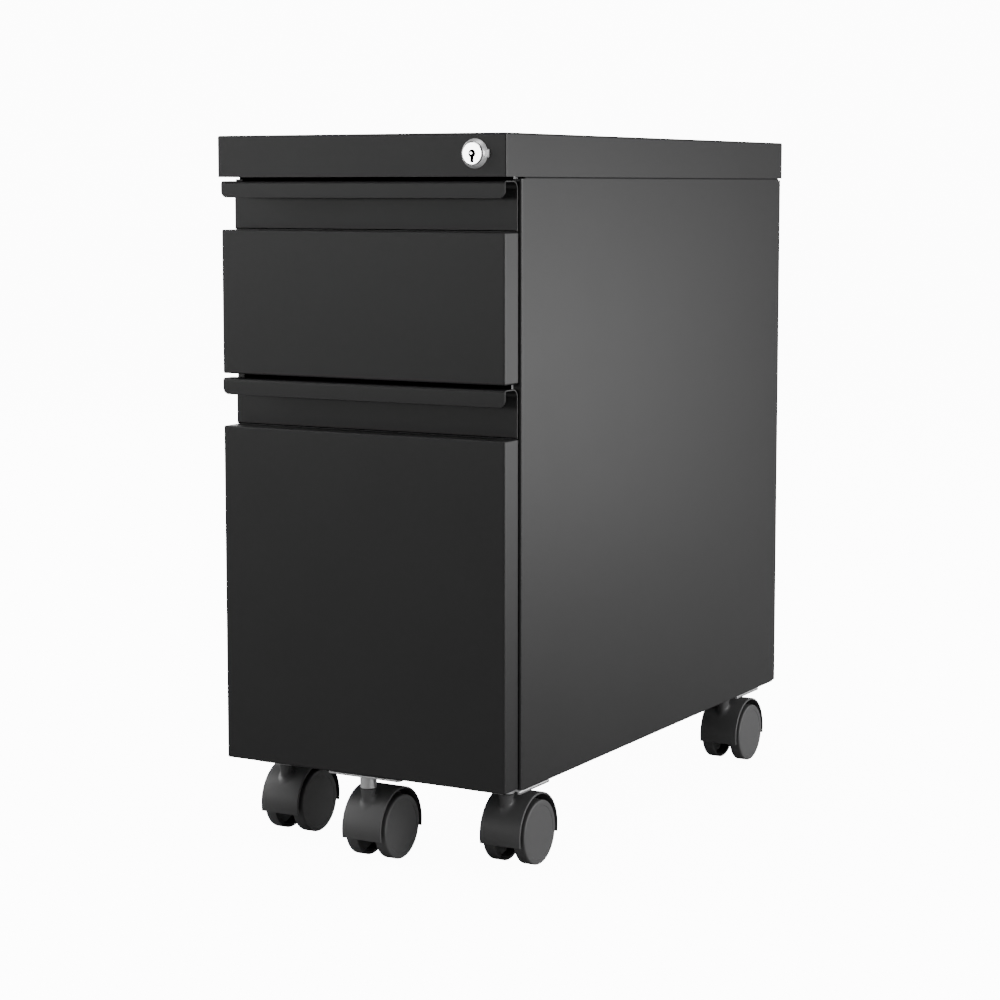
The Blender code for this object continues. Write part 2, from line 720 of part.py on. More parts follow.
def build_lock_plug(axis):
    """The part that the key turns: a round face with the keyhole, a core, and a tail for the cam."""
    head_back = -LOCK_HEAD_SEAT - GAP
    tail_start = LOCK_BARREL_LENGTH + GAP
    profile = [
        (0, -LOCK_PROUD),
        (LOCK_FACE_RADIUS, -LOCK_PROUD),
        (LOCK_FACE_RADIUS, head_back),
        (LOCK_CORE_RADIUS, head_back),
        (LOCK_CORE_RADIUS, tail_start),
        (LOCK_TAIL_RADIUS, tail_start),
        (LOCK_TAIL_RADIUS, tail_start + 2 * CAM_THICKNESS),
        (0, tail_start + 2 * CAM_THICKNESS),
    ]
    plug = turned("lock_plug", profile, "Y", (LOCK_X, CAP_FRONT, LOCK_Z), closed=False)
    half_slot = KEYHOLE_SLOT_WIDTH / 2
    slot_angle = math.degrees(math.asin(half_slot / KEYHOLE_RADIUS))
    outline = arc((LOCK_X, LOCK_Z), KEYHOLE_RADIUS, slot_angle - 90, 270 - slot_angle, 16)
    outline.append((LOCK_X - half_slot, LOCK_Z - KEYHOLE_SLOT_REACH))
    outline.append((LOCK_X + half_slot, LOCK_Z - KEYHOLE_SLOT_REACH))
    front = CAP_FRONT - LOCK_PROUD
    keyhole = prism("keyhole", outline, "Y", front - SHEET, front + KEYHOLE_DEPTH)
    # The slot reaches further out than the core behind the head, so it is only as deep as the head.
    slot_floor = CAP_FRONT + head_back - SHEET
    core_guard = block(
        "slot_stop",
        (LOCK_X - LOCK_RING_RADIUS, slot_floor, LOCK_Z - LOCK_RING_RADIUS),
        (LOCK_X + LOCK_RING_RADIUS, front + 2 * KEYHOLE_DEPTH, LOCK_Z + LOCK_RING_RADIUS),
    )
    combine(keyhole, "DIFFERENCE", core_guard)
    combine(plug, "DIFFERENCE", keyhole)
    return finish(plug, CHROME, axis, smooth=True)


def build_lock_cam(axis):
    """An arm on the plug's tail, with a pin that moves the lock bar."""
    reach_x = LOCK_X + CAM_REACH * math.cos(CAM_REST_ANGLE)
    reach_z = LOCK_Z + CAM_REACH * math.sin(CAM_REST_ANGLE)
    root_radius = LOCK_TAIL_RADIUS + GAP + LOCK_TAB_MARGIN
    tip_radius = CAM_PIN_RADIUS + SHEET
    degrees = math.degrees(CAM_REST_ANGLE)
    outline = arc((LOCK_X, LOCK_Z), root_radius, degrees + 90, degrees + 270, 12)
    outline += arc((reach_x, reach_z), tip_radius, degrees - 90, degrees + 90, 8)
    front = CAP_FRONT + LOCK_BARREL_LENGTH + 3 * GAP
    cam = prism("lock_cam", outline, "Y", front, front + CAM_THICKNESS)
    bore_radius = LOCK_TAIL_RADIUS + GAP
    bore = turned(
        "cam_bore",
        [(0, 0), (bore_radius, 0), (bore_radius, 3 * CAM_THICKNESS), (0, 3 * CAM_THICKNESS)],
        "Y",
        (LOCK_X, front - CAM_THICKNESS, LOCK_Z),
        closed=False,
    )
    pin_end = BAR_FRONT + LOCK_BAR_WIDTH / 2 + LOCK_TAB_THICKNESS - front
    pin = turned(
        "cam_pin",
        [(0, 0), (CAM_PIN_RADIUS, 0), (CAM_PIN_RADIUS, pin_end), (0, pin_end)],
        "Y",
        (reach_x, front + CAM_THICKNESS / 2, reach_z),
        closed=False,
        segments=STEM_SEGMENTS,
    )
    combine(cam, "DIFFERENCE", bore)
    combine(cam, "UNION", pin)
    return finish(cam, ZINC, axis)


def hook_bottom(tray_top):
    return tray_top - CATCH_DROP + HOOK_TO_CATCH


def build_lock_bar(box_top, file_top, axis):
    """A strip beside the drawers: a slotted tab on the cam's pin, and one hook for each drawer."""
    pin_low_x = LOCK_X + CAM_REACH * math.cos(CAM_REST_ANGLE)
    pin_high_x = LOCK_X + CAM_REACH
    pin_z = LOCK_Z + CAM_REACH * math.sin(CAM_REST_ANGLE)
    bottom = file_top - CATCH_DROP - CATCH_HEIGHT - HOOK_TO_CATCH
    bar = block("lock_bar", (BAR_INNER, BAR_FRONT, bottom), (BAR_OUTER, BAR_REAR, LOCK_BAR_TOP))
    tab_front = BAR_FRONT + LOCK_BAR_WIDTH / 2 - LOCK_TAB_THICKNESS / 2
    tab_reach = LOCK_SLOT_HALF + LOCK_TAB_MARGIN
    tab_low = (pin_low_x - tab_reach, tab_front, pin_z - tab_reach)
    tab = block("bar_tab", tab_low, (BAR_INNER + SHEET, tab_front + LOCK_TAB_THICKNESS, LOCK_BAR_TOP))
    hooks = []
    for number, tray_top in enumerate((box_top, file_top)):
        low = hook_bottom(tray_top)
        hook = block(
            f"bar_hook_{number}",
            (BAR_INNER - HOOK_REACH, BAR_FRONT + SHEET, low),
            (BAR_INNER + SHEET, BAR_FRONT + SHEET + HOOK_THICKNESS, low + HOOK_HEIGHT),
        )
        hooks.append(hook)
    slot = block(
        "bar_slot",
        (pin_low_x - LOCK_SLOT_HALF, tab_front - SHEET, pin_z - LOCK_SLOT_HALF),
        (pin_high_x + LOCK_SLOT_HALF, tab_front + LOCK_TAB_THICKNESS + SHEET, pin_z + LOCK_SLOT_HALF),
    )
    combine(bar, "UNION", tab, *hooks)
    combine(bar, "DIFFERENCE", slot)
    return finish(bar, ZINC, axis)


def build_lock_bar_channel(box_top, file_top):
    """A folded channel on the right side panel that the lock bar slides in."""
    web = BAR_OUTER + GAP
    web_out = web + SHEET
    lip = BAR_INNER - GAP
    lip_in = lip - CHANNEL_LIP
    front = BAR_FRONT - GAP
    rear = BAR_REAR + GAP
    foot = SIDE_INNER - GAP
    outline = [
        (web_out, front - SHEET),
        (web_out, rear),
        (foot, rear),
        (foot, rear + CHANNEL_FOOT),
        (foot - SHEET, rear + CHANNEL_FOOT),
        (foot - SHEET, rear + SHEET),
        (lip_in, rear + SHEET),
        (lip_in, rear - GAP - CHANNEL_LIP),
        (lip, rear - GAP - CHANNEL_LIP),
        (lip, rear),
        (web, rear),
        (web, front),
        (lip, front),
        (lip, front + GAP + CHANNEL_LIP),
        (lip_in, front + GAP + CHANNEL_LIP),
        (lip_in, front - SHEET),
    ]
    low = file_top - CATCH_DROP - CATCH_HEIGHT - LOCK_BAR_TRAVEL - HOOK_TO_CATCH
    high = box_top + CHANNEL_RISE
    channel = prism("lock_bar_channel", outline, "Z", low, high)
    return finish(channel, ZINC)


def build_caster_plate(name, half_width, front_reach, rear_reach, lip, notch_side, seat):
    """A pressed plate with a collar and the stem that the hood swivels on, around its own axis."""
    top = seat - GAP
    underside = top - PLATE_THICKNESS
    plate = block(name, (-half_width, -front_reach, top - lip), (half_width, rear_reach, top))
    if lip > PLATE_THICKNESS:
        hollow = block(
            name + "_hollow",
            (-half_width + PLATE_THICKNESS, -front_reach + PLATE_THICKNESS, top - 2 * lip),
            (half_width - PLATE_THICKNESS, rear_reach - PLATE_THICKNESS, underside),
        )
        combine(plate, "DIFFERENCE", hollow)
    if notch_side:
        inner_edge = half_width - PLATE_NOTCH_WIDTH
        corner = sorted((notch_side * inner_edge, notch_side * (half_width + SHEET)))
        notch = block(
            name + "_notch",
            (corner[0], -front_reach - SHEET, top - 2 * lip),
            (corner[1], -front_reach + PLATE_NOTCH_DEPTH, top + SHEET),
        )
        combine(plate, "DIFFERENCE", notch)
    collar_bottom = NECK_TOP + GAP
    stem_bottom = NECK_TOP - STEM_LENGTH
    profile = [
        (0, stem_bottom),
        (STEM_RADIUS, stem_bottom),
        (STEM_RADIUS, collar_bottom),
        (COLLAR_RADIUS, collar_bottom),
        (COLLAR_RADIUS, top - PLATE_THICKNESS / 2),
        (0, top - PLATE_THICKNESS / 2),
    ]
    stem = turned(name + "_stem", profile, "Z", (0, 0, 0), closed=False, segments=STEM_SEGMENTS)
    combine(plate, "UNION", stem)
    return plate


def build_hood():
    """A drum open at both ends and below, a web across its middle, and a tapered neck in front."""
    centre = (CASTER_TRAIL, WHEEL_RADIUS)
    inner = HOOD_RADIUS - HOOD_WALL
    drop = math.degrees(math.asin(HOOD_SKIRT_DROP / HOOD_RADIUS))
    drum_outline = arc(centre, HOOD_RADIUS, -drop, 180 + drop, HOOD_STEPS)
    drum_outline += arc(centre, inner, 180 + drop, -drop, HOOD_STEPS)
    drum = prism("hood", drum_outline, "X", -HOOD_HALF_WIDTH, HOOD_HALF_WIDTH)
    web_outline = arc(centre, inner + HOOD_WALL / 2, -drop, 180 + drop, HOOD_STEPS)
    web_outline += arc(centre, HUB_RADIUS, 200, 340, 8)
    web = prism("hood_web", web_outline, "X", -HOOD_WEB / 2, HOOD_WEB / 2)
    neck_foot = NECK_TOP - STEM_LENGTH - 2 * HOOD_WALL
    neck = turned(
        "hood_neck",
        [(0, neck_foot), (NECK_FOOT_RADIUS, neck_foot), (NECK_TOP_RADIUS, NECK_TOP), (0, NECK_TOP)],
        "Z",
        (0, 0, 0),
        closed=False,
        segments=STEM_SEGMENTS,
    )
    combine(drum, "UNION", web, neck)
    bore = STEM_RADIUS + GAP
    socket_floor = NECK_TOP - STEM_LENGTH - GAP
    socket = turned(
        "stem_socket",
        [(0, socket_floor), (bore, socket_floor), (bore, NECK_TOP + SHEET), (0, NECK_TOP + SHEET)],
        "Z",
        (0, 0, 0),
        closed=False,
        segments=STEM_SEGMENTS,
    )
    axle_bore = turned(
        "axle_bore",
        [(0, -HOOD_WEB), (AXLE_RADIUS + GAP, -HOOD_WEB), (AXLE_RADIUS + GAP, HOOD_WEB), (0, HOOD_WEB)],
        "X",
        (0, *centre),
        closed=False,
        segments=STEM_SEGMENTS,
    )
    combine(drum, "DIFFERENCE", socket, axle_bore)
    return drum


def build_axle():
    """The pin through the hood's web that both wheels turn on."""
    half = HOOD_HALF_WIDTH - AXLE_SETBACK
    profile = [(0, -half), (AXLE_RADIUS, -half), (AXLE_RADIUS, half), (0, half)]
    return turned("axle", profile, "X", (0, 0, 0), closed=False, segments=STEM_SEGMENTS)


def build_wheel(side):
    """A cup with a flat outer disc, a rim that rolls on the floor, and a hub on the axle."""
    outer = HOOD_HALF_WIDTH - WHEEL_FACE_SETBACK
    inner = outer - WHEEL_WIDTH
    hub_end = HOOD_WEB / 2 + 2 * GAP
    floor = outer - WHEEL_RIM
    bore = AXLE_RADIUS + GAP
    bore_end = HOOD_HALF_WIDTH - AXLE_SETBACK + GAP
    profile = [
        (0, outer),
        (WHEEL_RADIUS - WHEEL_EDGE, outer),
        (WHEEL_RADIUS, outer - WHEEL_EDGE),
        (WHEEL_RADIUS, inner + WHEEL_EDGE),
        (WHEEL_RADIUS - WHEEL_EDGE, inner),
        (WHEEL_RADIUS - WHEEL_RIM, inner),
        (WHEEL_RADIUS - WHEEL_RIM, floor),
        (HUB_RADIUS, floor),
        (HUB_RADIUS, hub_end),
        (bore, hub_end),
        (bore, bore_end),
        (0, bore_end),
    ]
    profile = [(radius, side * along) for radius, along in profile]
    return turned("wheel", profile, "X", (0, 0, 0), closed=False, segments=WHEEL_SEGMENTS)


def place_casters(file_axis):
    """Four casters under the base, and the fifth under the file drawer's front."""
    corner_x = HALF_WIDTH - CORNER_CASTER_INSET
    front_y = CAP_FRONT + FRONT_CASTER_DEPTH
    rear_y = CAP_REAR - REAR_CASTER_DEPTH
    fifth_y = CAP_FRONT + FIFTH_CASTER_DEPTH
    places = {
        "front_left": (-corner_x, front_y, -1),
        "front_right": (corner_x, front_y, 1),
        "rear_left": (-corner_x, rear_y, -1),
        "rear_right": (corner_x, rear_y, 1),
        "fifth": (0.0, fifth_y, 0),
    }
    hood_master = build_hood()
    axle_master = build_axle()
    wheel_masters = {"left": build_wheel(-1), "right": build_wheel(1)}
    for spot, (across, depth, side) in places.items():
        carrier = file_axis if spot == "fifth" else None
        place = Vector((across, depth, 0.0))
        if carrier:
            place -= carrier.location
        seat = empty(f"caster_seat_{spot}", place, carrier)
        stand = empty(f"swivel_{spot}_axis", place, carrier)
        if carrier:
            size = (FIFTH_PLATE_HALF_WIDTH, FIFTH_PLATE_FRONT_REACH, FIFTH_PLATE_REAR_REACH, PLATE_THICKNESS)
        else:
            size = (PLATE_HALF_WIDTH, PLATE_FRONT_REACH, PLATE_REAR_REACH, PLATE_LIP)
        under = FILE_PANEL_BOTTOM if carrier else CASE_BOTTOM
        plate = build_caster_plate(f"caster_plate_{spot}", *size, side, under)
        finish(plate, ZINC)
        plate.parent = seat
        hood = copy_of(hood_master, f"caster_hood_{spot}", stand)
        finish(hood, BLACK_PLASTIC, smooth=True)
        axle = copy_of(axle_master, f"caster_axle_{spot}", stand)
        finish(axle, ZINC, smooth=True)
        rolling = [axle]
        for hand, master in wheel_masters.items():
            wheel = copy_of(master, f"wheel_{spot}_{hand}", stand)
            finish(wheel, DISC_PLASTIC, smooth=True)
            rolling.append(wheel)
        for part in rolling:
            part.location = (0.0, CASTER_TRAIL, WHEEL_RADIUS)
    for master in (hood_master, axle_master, *wheel_masters.values()):
        bpy.data.objects.remove(master, do_unlink=True)


def build_cabinet():
    build_top_cap()
    build_side_panel("side_panel_left", -1)
    build_side_panel("side_panel_right", 1)
    build_back_panel()
    build_base_pan()

    box_top = BOX_TRAY_BOTTOM + BOX_TRAY_HEIGHT
    file_top = FILE_TRAY_BOTTOM + FILE_TRAY_HEIGHT
    box_axis = empty("box_drawer_axis", (0.0, FRONT_BACK, (BOX_PANEL_TOP + BOX_PANEL_BOTTOM) / 2))
    file_axis = empty("file_drawer_axis", (0.0, FRONT_BACK, (FILE_PANEL_TOP + FILE_PANEL_BOTTOM) / 2))

    build_tray("box_drawer_tray", BOX_TRAY_BOTTOM, BOX_TRAY_HEIGHT, box_axis)
    build_front_panel("box_drawer_front", BOX_PANEL_BOTTOM, BOX_PANEL_TOP, box_axis)
    build_pull("box_drawer_pull", BOX_PULL_TOP, BOX_PANEL_TOP, box_axis)
    build_catch("box_drawer_catch", box_top, box_axis)

    build_tray("file_drawer_tray", FILE_TRAY_BOTTOM, FILE_TRAY_HEIGHT, file_axis)
    build_front_panel("file_drawer_front", FILE_PANEL_BOTTOM, FILE_PANEL_TOP, file_axis)
    build_pull("file_drawer_pull", FILE_PULL_TOP, FILE_PANEL_TOP, file_axis)
    build_catch("file_drawer_catch", file_top, file_axis)
    rail_front = TRAY_FRONT + FOLDER_RAIL_SETBACK
    build_folder_rail("folder_rail_front", rail_front, file_top, file_axis)
    build_folder_rail("folder_rail_rear", rail_front + FOLDER_RAIL_SPACING, file_top, file_axis)

    runs = {
        "box": (BOX_TRAY_BOTTOM + BOX_SLIDE_LIFT, box_axis),
        "file": (FILE_TRAY_BOTTOM + FILE_SLIDE_LIFT, file_axis),
    }
    for drawer, (centre, drawer_axis) in runs.items():
        middle_axis = empty(f"{drawer}_slide_axis", (0.0, SLIDE_FRONT, centre))
        for hand, side in (("left", -1), ("right", 1)):
            build_outer_slide(f"{drawer}_slide_outer_{hand}", side, centre)
            build_middle_slide(f"{drawer}_slide_middle_{hand}", side, centre, middle_axis)
            build_inner_slide(f"{drawer}_slide_inner_{hand}", side, centre, drawer_axis)

    build_lock_housing()
    build_lock_nut()
    lock_axis = empty("lock_axis", (LOCK_X, CAP_FRONT, LOCK_Z))
    build_lock_plug(lock_axis)
    build_lock_cam(lock_axis)
    bar_axis = empty("lock_bar_axis", (BAR_INNER, BAR_FRONT, CAP_BOTTOM))
    build_lock_bar(box_top, file_top, bar_axis)
    build_lock_bar_channel(box_top, file_top)

    place_casters(file_axis)


clear_scene()
build_cabinet()
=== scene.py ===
"""Slim mobile pedestal cabinet: black powder-coated sheet steel on five twin-wheel casters.

The sections follow the cabinet as it is put together: case, drawers, slides, lock, casters.
All sizes are in metres, +Z is up, and the drawers open towards -Y.
"""

import math

import bmesh
import bpy
import numpy as np
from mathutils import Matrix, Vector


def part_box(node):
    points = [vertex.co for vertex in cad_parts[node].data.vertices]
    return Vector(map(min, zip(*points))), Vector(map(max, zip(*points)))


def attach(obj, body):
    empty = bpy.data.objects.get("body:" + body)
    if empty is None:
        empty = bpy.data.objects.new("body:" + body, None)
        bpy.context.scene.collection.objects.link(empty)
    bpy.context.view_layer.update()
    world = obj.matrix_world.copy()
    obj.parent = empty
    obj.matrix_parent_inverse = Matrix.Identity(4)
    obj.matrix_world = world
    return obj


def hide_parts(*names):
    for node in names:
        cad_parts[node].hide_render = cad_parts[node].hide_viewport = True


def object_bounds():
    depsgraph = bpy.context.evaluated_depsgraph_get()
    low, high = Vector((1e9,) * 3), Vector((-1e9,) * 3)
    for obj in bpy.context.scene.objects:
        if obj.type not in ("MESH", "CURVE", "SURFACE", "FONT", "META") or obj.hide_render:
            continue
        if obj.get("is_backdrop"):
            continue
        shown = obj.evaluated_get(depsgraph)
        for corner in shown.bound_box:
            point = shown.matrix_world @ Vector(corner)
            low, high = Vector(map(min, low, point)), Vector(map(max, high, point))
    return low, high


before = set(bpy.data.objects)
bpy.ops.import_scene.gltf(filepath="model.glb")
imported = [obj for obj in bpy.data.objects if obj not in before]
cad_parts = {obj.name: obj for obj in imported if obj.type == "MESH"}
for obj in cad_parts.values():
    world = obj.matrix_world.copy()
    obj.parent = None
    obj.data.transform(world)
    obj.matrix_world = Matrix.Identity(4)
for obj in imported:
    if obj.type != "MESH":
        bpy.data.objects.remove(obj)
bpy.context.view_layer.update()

# ---------------------------------------------------------------------------------------------
# Camera, floor and light. The camera stands to the right of the cabinet's front, just under the
# height of its cap, and looks slightly down. The floor and the room are white to the camera only,
# so that the light on the cabinet comes from soft lamps.

lens = bpy.data.cameras.new("camera")
lens.sensor_width = 36.0
lens.lens = 88.74
lens.shift_y = -0.05
camera = bpy.data.objects.new("camera", lens)
camera.location = (0.9952, -1.80165, 0.5151)
camera.rotation_euler = (math.radians(90 - 6.094), 0.0, math.radians(29.381))
bpy.context.scene.collection.objects.link(camera)
bpy.context.scene.camera = camera

FLOOR_RADIUS = 30.0
FLOOR_SIDES = 96
FLOOR_GREY = 0.80
FLOOR_SHADE = 0.30
FLOOR_GLOW = 12.0
ROOM_GLOW = 12.2
ROOM_LIGHT = 0.11


def split_by_ray(tree, unseen, seen, output):
    """Shows one shader to the camera and the other to every other ray."""
    ray = tree.nodes.new("ShaderNodeLightPath")
    either = tree.nodes.new("ShaderNodeMixShader")
    tree.links.new(ray.outputs["Is Camera Ray"], either.inputs[0])
    tree.links.new(unseen.outputs[0], either.inputs[1])
    tree.links.new(seen.outputs[0], either.inputs[2])
    tree.links.new(either.outputs[0], tree.nodes[output].inputs["Surface"])


floor_mesh = bpy.data.meshes.new("floor")
turn = np.linspace(0, math.tau, FLOOR_SIDES, endpoint=False)
floor_points = FLOOR_RADIUS * np.column_stack([np.cos(turn), np.sin(turn), np.zeros(FLOOR_SIDES)])
floor_mesh.from_pydata(floor_points.tolist(), [], [list(range(FLOOR_SIDES))])
floor = bpy.data.objects.new("floor", floor_mesh)
bpy.context.scene.collection.objects.link(floor)
floor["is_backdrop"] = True

floor_finish = bpy.data.materials.new("floor_paper")
floor_finish.use_nodes = True
nodes = floor_finish.node_tree.nodes
paper = nodes["Principled BSDF"]
paper.inputs["Base Color"].default_value = (FLOOR_GREY, FLOOR_GREY, FLOOR_GREY, 1.0)
paper.inputs["Roughness"].default_value = 0.9
paper.inputs["Emission Color"].default_value = (1.0, 1.0, 1.0, 1.0)
paper.inputs["Emission Strength"].default_value = FLOOR_GLOW
shade = nodes.new("ShaderNodeBsdfDiffuse")
shade.inputs["Color"].default_value = (FLOOR_SHADE, FLOOR_SHADE, FLOOR_SHADE, 1.0)
split_by_ray(floor_finish.node_tree, shade, paper, "Material Output")
floor_mesh.materials.append(floor_finish)

room = bpy.data.worlds.new("room")
bpy.context.scene.world = room
room.use_nodes = True
nodes = room.node_tree.nodes
wall = nodes["Background"]
wall.inputs["Color"].default_value = (1.0, 1.0, 1.0, 1.0)
wall.inputs["Strength"].default_value = ROOM_LIGHT
seen = nodes.new("ShaderNodeBackground")
seen.inputs["Color"].default_value = (1.0, 1.0, 1.0, 1.0)
seen.inputs["Strength"].default_value = ROOM_GLOW
split_by_ray(room.node_tree, wall, seen, "World Output")


def soft_light(name, place, target, width, height, power):
    """A rectangular lamp at a place, turned to face a target."""
    lamp = bpy.data.lights.new(name, "AREA")
    lamp.shape = "RECTANGLE"
    lamp.size = width
    lamp.size_y = height
    lamp.energy = power
    holder = bpy.data.objects.new(name, lamp)
    bpy.context.scene.collection.objects.link(holder)
    holder.location = place
    direction = np.subtract(target, place)
    holder.rotation_euler = (
        math.atan2(math.hypot(direction[0], direction[1]), -direction[2]),
        0.0,
        math.atan2(-direction[0], direction[1]),
    )
    holder.visible_camera = False
    return holder


soft_light("light_front_left", (-2.5, -2.2, 0.6), (0.0, -0.2, 0.45), 0.8, 0.4, 6.5)
soft_light("light_front_small", (-1.5, -3.0, 0.66), (0.0, -0.2, 0.45), 0.4, 0.4, 5)
soft_light("light_front", (0.0, -3.6, 1.0), (0.0, 0.0, 0.35), 1.4, 1.4, 6.5)
soft_light("light_right", (3.2, 1.6, 1.3), (0.1, 0.0, 0.4), 2.0, 2.4, 20)
soft_light("light_right_front", (2.8, -0.3, 0.7), (0.1, 0.0, 0.35), 1.6, 1.2, 54)
soft_light("light_right_near", (1.5, 1.0, 0.45), (0.1, 0.0, 0.35), 1.4, 0.7, 3.3)
soft_light("light_right_low", (1.1, 0.7, 0.28), (0.1, 0.0, 0.30), 1.2, 0.45, 3.6)
soft_light("light_rear", (2.4, 3.6, 1.0), (0.1, 0.0, 0.35), 2.4, 1.6, 4)
soft_light("light_left", (-3.0, -0.8, 1.4), (0.0, 0.0, 0.3), 2.0, 2.0, 80)
soft_light("light_top", (0.2, -0.6, 3.2), (0.0, 0.0, 0.3), 2.4, 2.4, 55)
soft_light("light_rear_left", (-2.2, 2.6, 1.9), (0.0, 0.0, 0.4), 1.8, 1.4, 34)

# ---------------------------------------------------------------------------------------------
# Top cap: 1 mm steel pressed into a shallow pan and turned upside down over the case. Its front
# wall is pierced for the lock and has a lip folded in along its lower edge. Powder-coated.

SHEET = 0.001
CAP_BEND = 0.0015
CAP_CORNER = 0.0013
CAP_LIP_DEPTH = 0.012
LOCK_HOLE = 0.0095
CUTTER_REACH = 0.003
BEND_STEPS = 6
EDGE_EASE = 0.0002


def quarter_turn(start, steps=BEND_STEPS):
    """Unit directions over a quarter circle from a start angle in degrees, as an (n, 2) array."""
    angle = np.radians(start + np.linspace(0.0, 90.0, steps + 1))
    return np.column_stack([np.cos(angle), np.sin(angle)])


def rounded_loop(low, high, radius, inset=0.0):
    """A rectangle with quarter-circle corners, drawn in by an inset, as (n, 2) points going round once.

    Each corner is centre + (radius - inset) * (cos a, sin a), with a radius of at least 0.2 mm.
    """
    low, high = np.array(low) + inset, np.array(high) - inset
    round_by = max(radius - inset, 0.0002)
    centres = np.array([(high[0], high[1]), (low[0], high[1]), (low[0], low[1]), (high[0], low[1])])
    towards = np.array([(-1, -1), (1, -1), (1, 1), (-1, 1)]) * round_by
    corners = [centre + step + quarter_turn(90 * k) * round_by
               for k, (centre, step) in enumerate(zip(centres, towards))]
    return np.concatenate(corners)


def placed(loop, plane, along):
    """A flat (n, 2) loop set in space: plane names its two axes, and along is its place on the third."""
    points = np.full((len(loop), 3), float(along))
    axes = ["XYZ".index(letter) for letter in plane]
    points[:, axes] = loop
    return points


def stacked(loops, ring=False):
    """Points and faces of the closed surface through a stack of loops.

    Point i of loop j joins points i + 1 and j + 1. The first and last loops are closed by one flat
    face each or, for a ring, are joined to each other.
    """
    loops = np.asarray(loops, float)
    count, around = loops.shape[:2]
    index = np.arange(count * around).reshape(count, around)
    after = np.roll(index, -1, axis=1)
    above = np.roll(index, -1, axis=0)
    above_after = np.roll(above, -1, axis=1)
    last = count if ring else count - 1
    quads = np.stack([index, after, above_after, above], axis=-1)[:last]
    faces = quads.reshape(-1, 4).tolist()
    if not ring:
        faces += [index[0][::-1].tolist(), index[-1].tolist()]
    return loops.reshape(-1, 3), faces


def piece(name, *shells):
    """One object from one or more closed shells of points and faces, with its faces turned outwards."""
    points, faces = [], []
    for shell_points, shell_faces in shells:
        start = sum(map(len, points))
        points.append(np.asarray(shell_points, float))
        faces += [[start + corner for corner in face] for face in shell_faces]
    mesh = bpy.data.meshes.new(name)
    mesh.from_pydata(np.concatenate(points).tolist(), [], faces)
    work = bmesh.new()
    work.from_mesh(mesh)
    bmesh.ops.remove_doubles(work, verts=work.verts, dist=1e-7)
    bmesh.ops.recalc_face_normals(work, faces=work.faces)
    work.to_mesh(mesh)
    work.free()
    made = bpy.data.objects.new(name, mesh)
    bpy.context.scene.collection.objects.link(made)
    return made


def apply_modifiers(made):
    """The object's mesh as its modifiers leave it."""
    bpy.context.view_layer.update()
    graph = bpy.context.evaluated_depsgraph_get()
    mesh = bpy.data.meshes.new_from_object(made.evaluated_get(graph))
    made.modifiers.clear()
    made.data = mesh


def carve(made, operation, *tools):
    """Cuts the tools from the piece, or joins them to it, and removes them."""
    for tool in tools:
        modifier = made.modifiers.new(tool.name, "BOOLEAN")
        modifier.operation = operation
        modifier.solver = "EXACT"
        modifier.object = tool
    apply_modifiers(made)
    for tool in tools:
        bpy.data.objects.remove(tool, do_unlink=True)


def block(low, high):
    """A box between two corners, as points and faces."""
    loop = np.array([(low[0], low[1]), (high[0], low[1]), (high[0], high[1]), (low[0], high[1])])
    return stacked([placed(loop, "XY", low[2]), placed(loop, "XY", high[2])])


def lathe(profile, axis, centre, segments=48, ring=False):
    """Points and faces of a (radius, along) profile turned once about an axis through a centre.

    Each point is centre + along * axis + radius * (cos a, sin a) across the axis.
    """
    angle = np.linspace(0, math.tau, segments, endpoint=False)
    circle = np.column_stack([np.cos(angle), np.sin(angle)])
    plane = {"X": "YZ", "Y": "XZ", "Z": "XY"}[axis]
    loops = [placed(radius * circle, plane, along) for radius, along in profile]
    points, faces = stacked(loops, ring)
    return points + np.asarray(centre, float), faces


def ease_edges(made, width, segments=2):
    """Rounds the sharp edges by a small width and keeps the flat faces flat in the shading."""
    bevel = made.modifiers.new("eased_edges", "BEVEL")
    bevel.width = width
    bevel.segments = segments
    bevel.limit_method = "ANGLE"
    bevel.angle_limit = math.radians(40)
    made.data.shade_smooth()
    weighted = made.modifiers.new("flat_faces", "WEIGHTED_NORMAL")
    weighted.weight = 100
    weighted.keep_sharp = True


